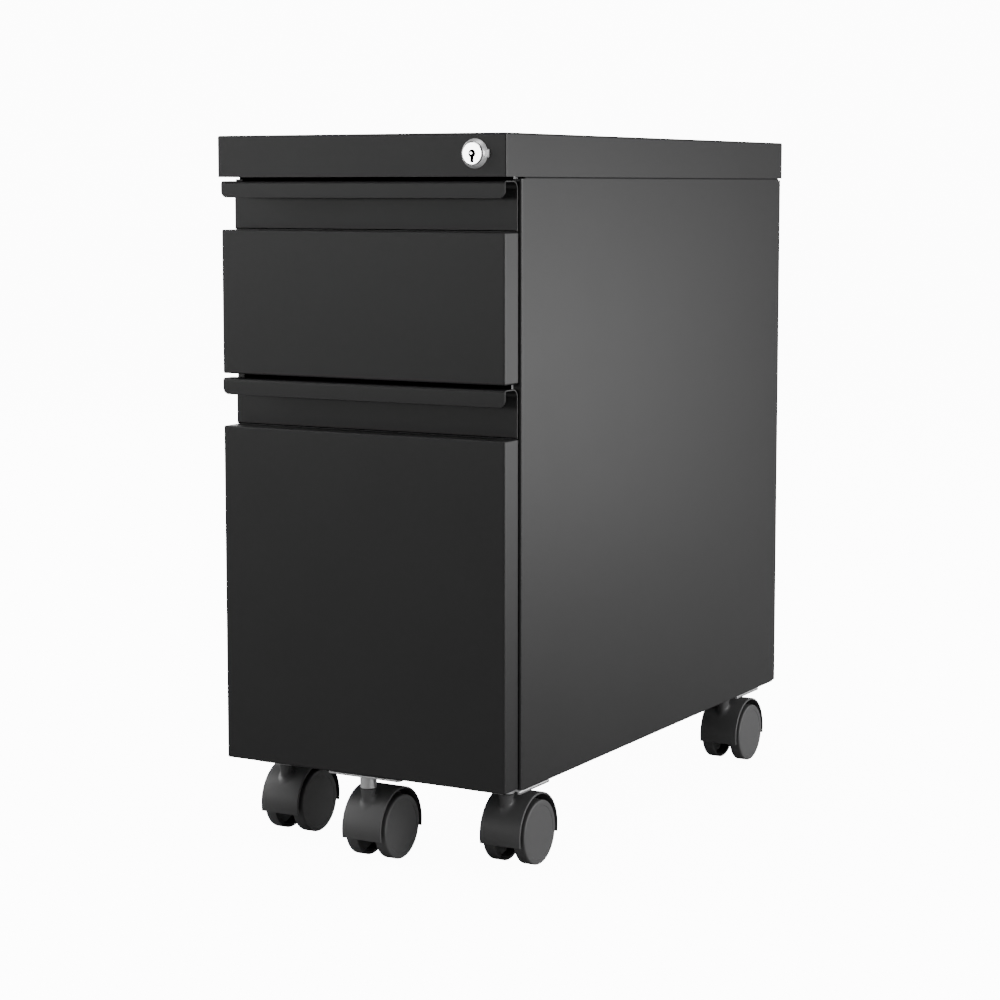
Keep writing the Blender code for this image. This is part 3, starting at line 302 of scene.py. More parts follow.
def grain_group():
    """Fine orange peel and cloudy gloss, as a shader node group.

    Height is a fine noise plus a coarser one, Cloud is a slow noise between 0 and 1, and Colour is
    the first colour drifting to the second with Cloud.
    """
    group = bpy.data.node_groups.new("coat_grain", "ShaderNodeTree")
    for name, kind, default in (
        ("First colour", "NodeSocketColor", (0.02, 0.02, 0.02, 1.0)),
        ("Second colour", "NodeSocketColor", (0.03, 0.03, 0.03, 1.0)),
        ("Grain per metre", "NodeSocketFloat", 2400.0),
        ("Least roughness", "NodeSocketFloat", 0.35),
        ("Most roughness", "NodeSocketFloat", 0.45),
    ):
        socket = group.interface.new_socket(name, in_out="INPUT", socket_type=kind)
        socket.default_value = default
    group.interface.new_socket("Colour", in_out="OUTPUT", socket_type="NodeSocketColor")
    group.interface.new_socket("Roughness", in_out="OUTPUT", socket_type="NodeSocketFloat")
    group.interface.new_socket("Height", in_out="OUTPUT", socket_type="NodeSocketFloat")
    nodes, links = group.nodes, group.links
    given = nodes.new("NodeGroupInput")
    result = nodes.new("NodeGroupOutput")
    place = nodes.new("ShaderNodeTexCoord")
    fine = nodes.new("ShaderNodeTexNoise")
    fine.inputs["Detail"].default_value = 2.0
    links.new(place.outputs["Object"], fine.inputs["Vector"])
    links.new(given.outputs["Grain per metre"], fine.inputs["Scale"])
    coarser = nodes.new("ShaderNodeMath")
    coarser.operation = "MULTIPLY"
    coarser.inputs[1].default_value = 0.3
    links.new(given.outputs["Grain per metre"], coarser.inputs[0])
    peel = nodes.new("ShaderNodeTexNoise")
    peel.inputs["Detail"].default_value = 1.0
    links.new(place.outputs["Object"], peel.inputs["Vector"])
    links.new(coarser.outputs[0], peel.inputs["Scale"])
    height = nodes.new("ShaderNodeMath")
    height.operation = "ADD"
    links.new(fine.outputs["Fac"], height.inputs[0])
    links.new(peel.outputs["Fac"], height.inputs[1])
    cloud = nodes.new("ShaderNodeTexNoise")
    cloud.inputs["Scale"].default_value = 14.0
    cloud.inputs["Detail"].default_value = 3.0
    links.new(place.outputs["Object"], cloud.inputs["Vector"])
    gloss = nodes.new("ShaderNodeMapRange")
    gloss.inputs["From Min"].default_value = 0.3
    gloss.inputs["From Max"].default_value = 0.7
    links.new(cloud.outputs["Fac"], gloss.inputs["Value"])
    links.new(given.outputs["Least roughness"], gloss.inputs["To Min"])
    links.new(given.outputs["Most roughness"], gloss.inputs["To Max"])
    tint = nodes.new("ShaderNodeMix")
    tint.data_type = "RGBA"
    links.new(cloud.outputs["Fac"], tint.inputs["Factor"])
    links.new(given.outputs["First colour"], tint.inputs["A"])
    links.new(given.outputs["Second colour"], tint.inputs["B"])
    links.new(tint.outputs["Result"], result.inputs["Colour"])
    links.new(gloss.outputs["Result"], result.inputs["Roughness"])
    links.new(height.outputs[0], result.inputs["Height"])
    return group


COAT_GRAIN = grain_group()


def coated(name, dark, light, roughness, grain, depth, metallic=0.0):
    """A material whose colour, gloss and fine relief come from the grain group."""
    material = bpy.data.materials.new(name)
    material.use_nodes = True
    nodes, links = material.node_tree.nodes, material.node_tree.links
    shader = nodes["Principled BSDF"]
    shader.inputs["Metallic"].default_value = metallic
    texture = nodes.new("ShaderNodeGroup")
    texture.node_tree = COAT_GRAIN
    texture.inputs["First colour"].default_value = (*dark, 1.0)
    texture.inputs["Second colour"].default_value = (*light, 1.0)
    texture.inputs["Grain per metre"].default_value = grain
    texture.inputs["Least roughness"].default_value = roughness[0]
    texture.inputs["Most roughness"].default_value = roughness[1]
    relief = nodes.new("ShaderNodeBump")
    relief.inputs["Distance"].default_value = depth
    links.new(texture.outputs["Height"], relief.inputs["Height"])
    links.new(texture.outputs["Colour"], shader.inputs["Base Color"])
    links.new(texture.outputs["Roughness"], shader.inputs["Roughness"])
    links.new(relief.outputs["Normal"], shader.inputs["Normal"])
    return material


def dress(made, finish, body, node=None, sharp=None):
    """Gives a piece its material and rides it on a body in place of a CAD node.

    With sharp, an angle in degrees, the piece shades smooth but for edges that turn further.
    """
    if sharp:
        made.data.shade_smooth()
        made.data.set_sharp_from_angle(angle=math.radians(sharp))
    made.data.materials.clear()
    made.data.materials.append(finish)
    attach(made, body)
    if node:
        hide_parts(node)


POWDER_COAT = coated(
    "black_powder_coat", (0.0092, 0.0092, 0.0095), (0.0108, 0.0108, 0.0111), (0.39, 0.41), 2400.0, 0.000004
)

cap_low, cap_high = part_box("top_cap")
lock_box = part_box("lock_housing")
lock_x = (lock_box[0].x + lock_box[1].x) / 2
lock_z = (lock_box[0].z + lock_box[1].z) / 2
cap_front = cap_low.y
cap_bottom = cap_low.z


def pan_profile(depth, bend, wall=SHEET):
    """(inset, height) of a pan's section: round its outer bend, down the wall, and back up inside."""
    outer = [(bend - bend * c, depth - bend + bend * s) for c, s in quarter_turn(0)[::-1]]
    inner_bend = bend - wall
    inner = [(bend - inner_bend * c, depth - bend + inner_bend * s) for c, s in quarter_turn(0)]
    return outer + [(0.0, 0.0), (wall, 0.0)] + inner


cap_profile = pan_profile(cap_high.z - cap_bottom, CAP_BEND)
cap_loops = [
    placed(rounded_loop(cap_low.xy, cap_high.xy, CAP_CORNER, inset), "XY", cap_bottom + height)
    for inset, height in cap_profile
]
cap_lip = block(
    (cap_low.x + SHEET / 2, cap_front + SHEET / 2, cap_bottom),
    (cap_high.x - SHEET / 2, cap_front + CAP_LIP_DEPTH, cap_bottom + SHEET),
)
cap = piece("cap", stacked(cap_loops))
lip = piece("cap_lip", cap_lip)
hole_profile = [(LOCK_HOLE, -CUTTER_REACH), (LOCK_HOLE, CUTTER_REACH)]
hole = piece("lock_hole", lathe(hole_profile, "Y", (lock_x, cap_front, lock_z)))
carve(cap, "UNION", lip)
carve(cap, "DIFFERENCE", hole)
ease_edges(cap, EDGE_EASE)
dress(cap, POWDER_COAT, "case", "top_cap")

# ---------------------------------------------------------------------------------------------
# Side panels: 1 mm steel folded in at the front, rear and bottom. The top edge is set in by the
# sheet's thickness so that the cap slips over it. Powder-coated, and welded to the base and back.

PANEL_BEND = 0.0015
FRONT_FLANGE = 0.007
REAR_FLANGE = 0.014
BOTTOM_FLANGE = 0.015
JOGGLE_DEPTH = 0.0013
JOGGLE_RISE = 0.0030
JOGGLE_DROP = 0.0012
FLANGE_NOTCH = 0.004


def bent_path(corners, radius, steps=BEND_STEPS):
    """An open path of straight runs whose corners are arcs of one radius, as an (n, 2) array.

    At each corner the arc's centre lies on the bisector, at radius / sin(half the corner's angle),
    and the arc's spokes are blended from the first to the last by sines of their share of the turn.
    """
    corners = np.asarray(corners, float)
    points = [corners[0]]
    for before, corner, after in zip(corners, corners[1:], corners[2:]):
        to_before = (before - corner) / np.linalg.norm(before - corner)
        to_after = (after - corner) / np.linalg.norm(after - corner)
        half = math.acos(np.clip(to_before @ to_after, -1, 1)) / 2
        bisector = (to_before + to_after) / np.linalg.norm(to_before + to_after)
        centre = corner + bisector * radius / math.sin(half)
        first = corner + to_before * radius / math.tan(half) - centre
        last = corner + to_after * radius / math.tan(half) - centre
        share = np.linspace(0, 1, steps + 1)[:, None]
        turn = math.pi - 2 * half
        spokes = first * np.sin((1 - share) * turn) + last * np.sin(share * turn)
        points.extend(centre + spokes / math.sin(turn))
    points.append(corners[-1])
    return np.array(points)


def folded_sheet(name, grid, keep=None, thickness=SHEET):
    """A sheet from a (rows, columns, 3) grid on its middle surface; keep says which cells are metal.

    The grid's cells become faces, and each face goes half the thickness to either side.
    """
    rows, columns = grid.shape[:2]
    index = np.arange(rows * columns).reshape(rows, columns)
    quads = np.stack([index[:-1, :-1], index[:-1, 1:], index[1:, 1:], index[1:, :-1]], axis=-1)
    if keep is not None:
        quads = quads[keep]
    used, corners = np.unique(quads, return_inverse=True)
    mesh = bpy.data.meshes.new(name)
    mesh.from_pydata(grid.reshape(-1, 3)[used].tolist(), [], corners.reshape(-1, 4).tolist())
    made = bpy.data.objects.new(name, mesh)
    bpy.context.scene.collection.objects.link(made)
    thicken = made.modifiers.new("thickness", "SOLIDIFY")
    thicken.thickness = thickness
    thicken.offset = 0.0
    thicken.use_even_offset = True
    apply_modifiers(made)
    work = bmesh.new()
    work.from_mesh(made.data)
    bmesh.ops.recalc_face_normals(work, faces=work.faces)
    work.to_mesh(made.data)
    work.free()
    return made


case_low, case_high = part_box("side_panel_right")
case_front, case_rear, case_bottom = case_low.y, case_high.y, case_low.z
half_width = case_high.x
panel_plan = bent_path(
    [
        (half_width - FRONT_FLANGE, case_front + SHEET / 2),
        (half_width - SHEET / 2, case_front + SHEET / 2),
        (half_width - SHEET / 2, case_rear - SHEET / 2),
        (half_width - REAR_FLANGE, case_rear - SHEET / 2),
    ],
    PANEL_BEND,
)
wall_start = case_front + SHEET / 2 + PANEL_BEND + FLANGE_NOTCH
wall_end = case_rear - SHEET / 2 - PANEL_BEND - FLANGE_NOTCH
wall_x = half_width - SHEET / 2
panel_plan = np.insert(panel_plan, 2 + BEND_STEPS, [(wall_x, wall_start), (wall_x, wall_end)], axis=0)
panel_rise = bent_path(
    [
        (BOTTOM_FLANGE, case_bottom + SHEET / 2),
        (0.0, case_bottom + SHEET / 2),
        (0.0, cap_bottom - JOGGLE_DROP),
        (JOGGLE_DEPTH, cap_bottom - JOGGLE_DROP + JOGGLE_RISE),
        (JOGGLE_DEPTH, case_high.z),
    ],
    PANEL_BEND * 2 / 3,
)
along_plan = np.gradient(panel_plan, axis=0)
along_plan /= np.linalg.norm(along_plan, axis=1)[:, None]
inward = np.column_stack([-along_plan[:, 1], along_plan[:, 0]])
inward[2 + BEND_STEPS : 4 + BEND_STEPS] = (-1.0, 0.0)
panel_grid = np.empty((len(panel_rise), len(panel_plan), 3))
panel_grid[..., :2] = panel_plan[None] + panel_rise[:, 0, None, None] * inward[None]
panel_grid[..., 2] = panel_rise[:, 1, None]
row_middle = (panel_rise[1:, 1] + panel_rise[:-1, 1]) / 2
row_is_wall = (panel_rise[1:, 0] < 1e-6) & (panel_rise[:-1, 0] < 1e-6)
column_middle = (panel_plan[1:, 1] + panel_plan[:-1, 1]) / 2
column_is_wall = (column_middle > wall_start) & (column_middle < wall_end)
panel_keep = row_is_wall[:, None] | column_is_wall[None]
for hand, side in (("left", -1), ("right", 1)):
    side_panel = folded_sheet(f"side_{hand}", panel_grid * (side, 1, 1), panel_keep)
    ease_edges(side_panel, EDGE_EASE)
    dress(side_panel, POWDER_COAT, "case", f"side_panel_{hand}")

# ---------------------------------------------------------------------------------------------
# Back and base: plain sheets with turned edges, spot-welded inside the side panels' flanges. The
# base is cut out at the front where the fifth caster's plate leaves with the file drawer.

BACK_TURN = 0.012
BACK_BEND = 0.0018
PAN_UPSTAND = 0.011
NOTCH_WIDTH = 0.100
NOTCH_DEPTH = 0.026
RIVET_RADIUS = 0.0024
RIVET_RISE = 0.0008
RIVET_ROWS = 5
RIVET_MARGIN = 0.03
FINE_EASE = 0.0001


def drawn_out(path, plane, start, end):
    """The grid of a flat path drawn along its third axis from start to end."""
    return np.stack([placed(path, plane, start), placed(path, plane, end)], axis=1)


back_low, back_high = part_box("back_panel")
back_middle = back_high.y - SHEET / 2
back_path = bent_path(
    [
        (back_middle - BACK_TURN, back_high.z - SHEET / 2),
        (back_middle, back_high.z - SHEET / 2),
        (back_middle, back_low.z + SHEET / 2),
        (back_middle - BACK_TURN, back_low.z + SHEET / 2),
    ],
    BACK_BEND,
)
back = folded_sheet("back", drawn_out(back_path, "YZ", back_low.x, back_high.x))

pan_low, pan_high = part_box("base_pan")
pan_middle = pan_low.z + SHEET / 2
pan_half = pan_high.x - SHEET / 2
pan_path = bent_path(
    [(-pan_half, pan_high.z), (-pan_half, pan_middle), (pan_half, pan_middle), (pan_half, pan_high.z)],
    BACK_BEND,
)
half_path = len(pan_path) // 2
notch_sides = [(-NOTCH_WIDTH / 2, pan_middle), (NOTCH_WIDTH / 2, pan_middle)]
pan_path = np.insert(pan_path, half_path, notch_sides, axis=0)
pan_depths = np.array([pan_low.y, pan_low.y + NOTCH_DEPTH, pan_high.y])
pan_grid = np.empty((3, len(pan_path), 3))
pan_grid[..., 0] = pan_path[None, :, 0]
pan_grid[..., 1] = pan_depths[:, None]
pan_grid[..., 2] = pan_path[None, :, 1]
pan_keep = np.ones((2, len(pan_path) - 1), bool)
pan_keep[0, half_path] = False
base = folded_sheet("base", pan_grid, pan_keep)

rivet_profile = np.array([(0.0, 1.0), (0.55, 0.85), (0.9, 0.4), (1.0, 0.0), (0.0, 0.0)])
rivet_profile *= (RIVET_RADIUS, RIVET_RISE)
rivet_heights = np.linspace(case_bottom + RIVET_MARGIN, cap_bottom - RIVET_MARGIN, RIVET_ROWS)
rivets = piece(
    "back_rivets",
    *[
        lathe(rivet_profile, "Y", (side * (half_width - REAR_FLANGE / 2), case_rear, height), 16)
        for side in (-1, 1)
        for height in rivet_heights
    ],
)
for made, node in ((back, "back_panel"), (base, "base_pan"), (rivets, None)):
    ease_edges(made, FINE_EASE)
    dress(made, POWDER_COAT, "case", node)

# ---------------------------------------------------------------------------------------------
# Drawer faces: pans of 1 mm steel with all four edges folded back. Behind the top edge stands the
# grip's wall, so the top return stops short of it. Powder-coated, screwed to the tray.

FACE_BEND = 0.0013
FACE_CORNER = 0.0013
FACE_RELIEF = 0.0006

drawers = ("box", "file")
for drawer in drawers:
    low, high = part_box(f"{drawer}_drawer_front")
    depth = high.y - low.y
    loops = [
        placed(rounded_loop((low.x, low.z), (high.x, high.z), FACE_CORNER, inset), "XZ", high.y - height)
        for inset, height in pan_profile(depth, FACE_BEND)
    ]
    face = piece(f"{drawer}_face", stacked(loops))
    relief_low = (low.x + SHEET, high.y - SHEET - FACE_RELIEF, high.z - 2 * SHEET)
    relief_high = (high.x - SHEET, high.y + SHEET, high.z + SHEET)
    carve(face, "DIFFERENCE", piece("relief", block(relief_low, relief_high)))
    ease_edges(face, EDGE_EASE)
    dress(face, POWDER_COAT, f"{drawer}_drawer", f"{drawer}_drawer_front")

# ---------------------------------------------------------------------------------------------
# Grips: one strip of 1 mm steel across each drawer, folded down over the fingers in front and
# down again behind them to the top of the drawer's face. The hanging flap's corners are rounded.

GRIP_FRONT_BEND = 0.002
GRIP_REAR_BEND = 0.006
GRIP_DROP = 0.0128
GRIP_CORNER = 0.005
GRIP_TAIL = 0.015
TAIL_MARGIN = 0.0006
GAP = 0.0003

for drawer in drawers:
    low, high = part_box(f"{drawer}_drawer_pull")
    face_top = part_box(f"{drawer}_drawer_front")[1].z
    front, rear, top = low.y + SHEET / 2, high.y - SHEET / 2, high.z - SHEET / 2
    flap_end = high.z - GRIP_DROP
    foot = face_top + GAP
    path = bent_path([(front, flap_end), (front, top), (rear, top), (rear, foot)], GRIP_REAR_BEND, 10)
    first = bent_path([(front, flap_end), (front, top), ((front + rear) / 2, top)], GRIP_FRONT_BEND, 8)
    past_front_bend = path[:, 0] > front + GRIP_REAR_BEND + 1e-4
    path = np.concatenate([first[:-1], path[past_front_bend]])
    corner_angle = np.linspace(0, math.pi / 2, 7)
    corner_rise = GRIP_CORNER * (1 - np.cos(corner_angle))
    corner_half = high.x - GRIP_CORNER * (1 - np.sin(corner_angle))
    flap = np.column_stack([np.full(len(corner_rise), front), flap_end + corner_rise])
    tail_half = high.x - SHEET - TAIL_MARGIN
    tail = np.array([(rear, foot), (rear, face_top - GRIP_TAIL)])
    rows = np.concatenate([flap, path[1:], tail])
    halves = np.concatenate([corner_half, np.full(len(path) - 1, high.x), np.full(2, tail_half)])
    grid = np.empty((len(rows), 2, 3))
    grid[..., 0] = halves[:, None] * (-1, 1)
    grid[..., 1:] = rows[:, None]
    grip = folded_sheet(f"{drawer}_grip", grid)
    ease_edges(grip, EDGE_EASE)
    dress(grip, POWDER_COAT, f"{drawer}_drawer", f"{drawer}_drawer_pull")

# ---------------------------------------------------------------------------------------------
# Drawer bodies: open trays of 1 mm steel with bent-up walls and a hem rolled in along the top.
# Powder-coated like the case. The file drawer carries two zinc-plated bars for hanging folders.

TRAY_CORNER = 0.0025
TRAY_BEND = 0.0025
HEM_RADIUS = 0.001
HEM_DEPTH = 0.007
BAR_HOOK = 0.008
BAR_THICKNESS = 0.002
BAR_HOOK_WIDTH = 0.0012
BAR_EASE = 0.0003

for drawer in drawers:
    low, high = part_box(f"{drawer}_drawer_tray")
    depth = high.z - low.z
    outer = [(TRAY_BEND - TRAY_BEND * c, TRAY_BEND - TRAY_BEND * s) for c, s in quarter_turn(0)[::-1]]
    roll = np.linspace(0, math.pi, 9)
    hem_foot = depth - HEM_RADIUS
    hem = [(HEM_RADIUS - HEM_RADIUS * math.cos(a), hem_foot + HEM_RADIUS * math.sin(a)) for a in roll]
    fold = [(2 * HEM_RADIUS, depth - HEM_DEPTH), (SHEET, depth - HEM_DEPTH - SHEET / 2)]
    inner_bend = TRAY_BEND - SHEET
    inner = [(TRAY_BEND - inner_bend * c, TRAY_BEND - inner_bend * s) for c, s in quarter_turn(0)]
    loops = [
        placed(rounded_loop(low.xy, high.xy, TRAY_CORNER, inset), "XY", low.z + height)
        for inset, height in outer + hem + fold + inner
    ]
    tray = piece(f"{drawer}_tray", stacked(loops))
    ease_edges(tray, EDGE_EASE)
    dress(tray, POWDER_COAT, f"{drawer}_drawer", f"{drawer}_drawer_tray")

ZINC_PLATE = coated(
    "zinc_plate", (0.56, 0.56, 0.57), (0.70, 0.70, 0.70), (0.30, 0.42), 900.0, 0.000008, metallic=1.0
)

tray_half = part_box("file_drawer_tray")[1].x
for end in ("front", "rear"):
    low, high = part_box(f"folder_rail_{end}")
    seat = high.z - BAR_THICKNESS
    shoulder = tray_half - 2 * HEM_RADIUS - GAP
    right = [
        (shoulder, low.z),
        (shoulder, seat),
        (high.x - BAR_HOOK_WIDTH, seat),
        (high.x - BAR_HOOK_WIDTH, seat - BAR_HOOK),
        (high.x, seat - BAR_HOOK),
        (high.x, high.z),
    ]
    outline = np.array(right + [(-across, up) for across, up in reversed(right)])
    bar = piece(f"folder_bar_{end}", stacked([placed(outline, "XZ", low.y), placed(outline, "XZ", high.y)]))
    ease_edges(bar, BAR_EASE)
    dress(bar, ZINC_PLATE, "file_drawer", f"folder_rail_{end}")

# ---------------------------------------------------------------------------------------------
# Ball slides: three rolled channels of 1.2 mm steel on each side of each drawer. Balls in a strip
# cage run above and below between neighbouring channels. Zinc-plated, with pan-head screws.

SLIDE_GAUGE = 0.0012
SLIDE_BEND = 0.0012
BRACKET_LENGTH = 0.030
BRACKET_INSET = 0.018
BRACKET_HALF_HEIGHT = 0.018
BALL_RADIUS = 0.0014
BALL_PITCH = 0.0062
BALLS_IN_CAGE = 9
CAGE_HALF_WIDTH = 0.0022
CAGE_THICKNESS = 0.0005
CAGE_SETBACK = 0.012
WEB_PLAY = 0.0008
SCREW_RADIUS = 0.0034
SCREW_RISE = 0.0016
SCREW_CROSS = 0.0042
SCREW_SLOT = 0.0009
SCREW_SINK = 0.0002
SCREW_SHARES = (0.08, 0.36, 0.64, 0.92)
FACE_SCREW_SPREAD = 0.075
FACE_SCREW_FOOT = 0.018
FACE_SCREW_HEADROOM = 0.022
SLIDE_SHARP = 35


def channel(web, tip, half_height, centre, start, end):
    """A C section with rounded folds, from the lower lip's tip round the web to the upper lip's."""
    level = half_height - SLIDE_GAUGE / 2
    away = SLIDE_GAUGE / 2 if web > tip else -SLIDE_GAUGE / 2
    lower, upper = centre - level, centre + level
    path = bent_path([(tip, lower), (web - away, lower), (web - away, upper), (tip, upper)], SLIDE_BEND, 4)
    return drawn_out(path, "XZ", start, end)


def joined(name, *parts):
    """One object from several, with all their modifiers applied."""
    for part in parts:
        apply_modifiers(part)
    work = bmesh.new()
    for part in parts:
        work.from_mesh(part.data)
        bpy.data.objects.remove(part, do_unlink=True)
    mesh = bpy.data.meshes.new(name)
    work.to_mesh(mesh)
    work.free()
    made = bpy.data.objects.new(name, mesh)
    bpy.context.scene.collection.objects.link(made)
    return made


def shell_of(made):
    """The points and faces of an object's mesh, for copies; the object itself is removed."""
    points = np.empty(len(made.data.vertices) * 3, np.float32)
    made.data.vertices.foreach_get("co", points)
    faces = [list(polygon.vertices) for polygon in made.data.polygons]
    bpy.data.objects.remove(made, do_unlink=True)
    return points.reshape(-1, 3).astype(float), faces


def turned_copies(points, faces, places):
    """Shells of one shape set at several places, each a centre and a 3 by 3 turning matrix.

    Each point becomes centre + turning * point.
    """
    return [(points @ np.array(turning, float).T + np.array(centre), faces) for centre, turning in places]


dome_angle = np.linspace(0, math.pi / 2, 5)
dome = [(SCREW_RADIUS * math.sin(a), SCREW_RISE * math.cos(a)) for a in dome_angle]
head_profile = [*dome, (SCREW_RADIUS, -SCREW_SINK), (0.0, -SCREW_SINK)]
screw = piece("screw_head", lathe(head_profile, "Z", (0, 0, 0), 24))
cross = []
for half_x, half_y in ((SCREW_CROSS / 2, SCREW_SLOT / 2), (SCREW_SLOT / 2, SCREW_CROSS / 2)):
    cross.append(piece("slot", block((-half_x, -half_y, SCREW_RISE * 0.35), (half_x, half_y, 0.01))))
carve(screw, "DIFFERENCE", *cross)
screw_points, screw_faces = shell_of(screw)
FACING = {
    "+X": ((0, 0, 1), (0, 1, 0), (-1, 0, 0)),
    "-X": ((0, 0, -1), (0, 1, 0), (1, 0, 0)),
    "+Y": ((1, 0, 0), (0, 0, 1), (0, -1, 0)),
}

for drawer in drawers:
    outer_low, outer_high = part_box(f"{drawer}_slide_outer_right")
    middle_low, middle_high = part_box(f"{drawer}_slide_middle_right")
    inner_low, inner_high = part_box(f"{drawer}_slide_inner_right")
    centre = (outer_low.z + outer_high.z) / 2
    outer_web = middle_high.x + SLIDE_GAUGE + WEB_PLAY
    outer_half = (outer_high.z - outer_low.z) / 2
    middle_half = outer_half - SLIDE_GAUGE - 2 * BALL_RADIUS
    inner_half = (inner_high.z - inner_low.z) / 2
    race = (inner_low.x + outer_web) / 2
    outer_grid = channel(outer_web, outer_low.x, outer_half, centre, outer_low.y, outer_high.y)
    middle_grid = channel(middle_high.x, middle_low.x, middle_half, centre, middle_low.y, middle_high.y)
    inner_grid = channel(inner_low.x, inner_high.x, inner_half, centre, inner_low.y, inner_high.y)
    bracket_grids = []
    for start in (outer_low.y + BRACKET_INSET, outer_high.y - BRACKET_INSET - BRACKET_LENGTH):
        end = start + BRACKET_LENGTH
        foot, root = outer_high.x - SLIDE_GAUGE / 2, outer_web - SLIDE_GAUGE / 2
        plan = bent_path([(root, start), (foot, start), (foot, end), (root, end)], SLIDE_BEND, 4)
        foot_z, head_z = centre - BRACKET_HALF_HEIGHT, centre + BRACKET_HALF_HEIGHT
        bracket_grids.append(drawn_out(plan, "XY", foot_z, head_z))
    cage_places = [
        (up * (half + BALL_RADIUS), start)
        for half in (middle_half, inner_half)
        for up in (-1, 1)
        for start in (middle_low.y + CAGE_SETBACK, (middle_low.y + middle_high.y) / 2)
    ]
    pole_angle = np.linspace(0, math.pi, 9)
    ball_profile = [(BALL_RADIUS * math.sin(a), BALL_RADIUS * math.cos(a)) for a in pole_angle]
    for hand, side in (("left", -1), ("right", 1)):
        outer = [
            folded_sheet("part", grid * (side, 1, 1), None, SLIDE_GAUGE)
            for grid in (outer_grid, *bracket_grids)
        ]
        outer = joined(f"{drawer}_channel_outer_{hand}", *outer)
        shells = []
        for up, start in cage_places:
            reach = BALL_PITCH * (BALLS_IN_CAGE - 0.5)
            level = centre + up
            cage_low = (side * race - CAGE_HALF_WIDTH, start - BALL_PITCH / 2, level - CAGE_THICKNESS / 2)
            cage_high = (side * race + CAGE_HALF_WIDTH, start + reach, level + CAGE_THICKNESS / 2)
            shells.append(block(cage_low, cage_high))
            for number in range(BALLS_IN_CAGE):
                place = (side * race, start + number * BALL_PITCH, level)
                shells.append(lathe(ball_profile, "Y", place, 12))
        balls = piece("balls", *shells)
        web = folded_sheet("part", middle_grid * (side, 1, 1), None, SLIDE_GAUGE)
        middle = joined(f"{drawer}_channel_middle_{hand}", web, balls)
        screw_x = side * (inner_low.x + SLIDE_GAUGE)
        screw_ys = inner_low.y + np.array(SCREW_SHARES) * (inner_high.y - inner_low.y)
        turning = FACING["+X" if side > 0 else "-X"]
        screw_places = [((screw_x, screw_y, centre), turning) for screw_y in screw_ys]
        screws = piece("screws", *turned_copies(screw_points, screw_faces, screw_places))
        web = folded_sheet("part", inner_grid * (side, 1, 1), None, SLIDE_GAUGE)
        inner = joined(f"{drawer}_channel_inner_{hand}", web, screws)
        for made, member, body in (
            (outer, "outer", "case"),
            (middle, "middle", f"{drawer}_slide_middle"),
            (inner, "inner", f"{drawer}_drawer"),
        ):
            node = f"{drawer}_slide_{member}_{hand}"
            dress(made, ZINC_PLATE, body, node, SLIDE_SHARP)

for drawer in drawers:
    low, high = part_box(f"{drawer}_drawer_tray")
    places = [
        ((side * FACE_SCREW_SPREAD, low.y + SHEET, height), FACING["+Y"])
        for side in (-1, 1)
        for height in (low.z + FACE_SCREW_FOOT, high.z - FACE_SCREW_HEADROOM)
    ]
    face_screws = piece(f"{drawer}_face_screws", *turned_copies(screw_points, screw_faces, places))
    dress(face_screws, ZINC_PLATE, f"{drawer}_drawer", None, SLIDE_SHARP)

# ---------------------------------------------------------------------------------------------
# Lock: a chromed die-cast barrel with a bevelled ring, clamped through the cap's front wall by a
# nut. The key turns a round-faced plug; its cam drives a bar that hooks each drawer shut.

RING_RADIUS = 0.01075
RING_EDGE = 0.0006
RING_LAND = 0.0003
RING_SETBACK = 0.0005
SEAM = 0.00045
FACE_RADIUS = 0.0082
FACE_BEVEL = 0.0005
BARREL_RADIUS = 0.009
CORE_RADIUS = 0.0055
TAIL_RADIUS = 0.004
KEYHOLE_RADIUS = 0.0029
KEYHOLE_SLOT = 0.0026
KEYHOLE_REACH = 0.0064
KEYHOLE_DEPTH = 0.006
PIN_RADIUS = 0.0011
STOP_HALF_HEIGHT = 0.0029
STOP_REACH = 0.0124
STOP_DEPTH = 0.0026
STOP_EASE = 0.0004
HOUSING_EASE = 0.00015
HEAD_SEAT = -0.0017
PIN_ASIDE = 0.0011
PIN_UP = 0.0002
FACE_MARGIN = 0.0002
TURNED_SHARP = 30

CHROME = coated(
    "chrome", (0.88, 0.88, 0.89), (0.93, 0.93, 0.93), (0.10, 0.14), 1500.0, 0.000002, metallic=1.0
)
SATIN_CHROME = coated(
    "satin_chrome", (0.78, 0.78, 0.79), (0.84, 0.84, 0.84), (0.28, 0.34), 1500.0, 0.000003, metallic=0.45
)
# Painted shade: a near-black finish for the shadowed walls inside the keyhole.
KEYHOLE_PAINTED_SHADE = coated(
    "keyhole_painted_shade", (0.006, 0.006, 0.006), (0.01, 0.01, 0.01), (0.5, 0.6), 3000.0, 0.000005
)

lock_front = lock_box[0].y - cap_front
lock_rear = lock_box[1].y - cap_front
housing_profile = [
    (BARREL_RADIUS, 0.0),
    (RING_RADIUS, 0.0),
    (RING_RADIUS, -RING_EDGE),
    (FACE_RADIUS + SEAM + RING_LAND, lock_front + RING_SETBACK),
    (FACE_RADIUS + SEAM, lock_front + RING_SETBACK),
    (FACE_RADIUS + SEAM, HEAD_SEAT),
    (CORE_RADIUS + GAP, HEAD_SEAT),
    (CORE_RADIUS + GAP, lock_rear),
    (BARREL_RADIUS - 0.0004, lock_rear),
    (BARREL_RADIUS, lock_rear - 0.0004),
]
lock_centre = (lock_x, cap_front, lock_z)
housing = piece("lock_barrel", lathe(housing_profile, "Y", lock_centre, 96, ring=True))
stop_low = (lock_x + FACE_RADIUS, cap_front - STOP_DEPTH, lock_z - STOP_HALF_HEIGHT)
stop_high = (lock_x + STOP_REACH, cap_front - GAP, lock_z + STOP_HALF_HEIGHT)
stop = piece("key_stop", block(stop_low, stop_high))
ease_edges(housing, HOUSING_EASE)
ease_edges(stop, STOP_EASE, 3)
housing = joined("lock_barrel", housing, stop)
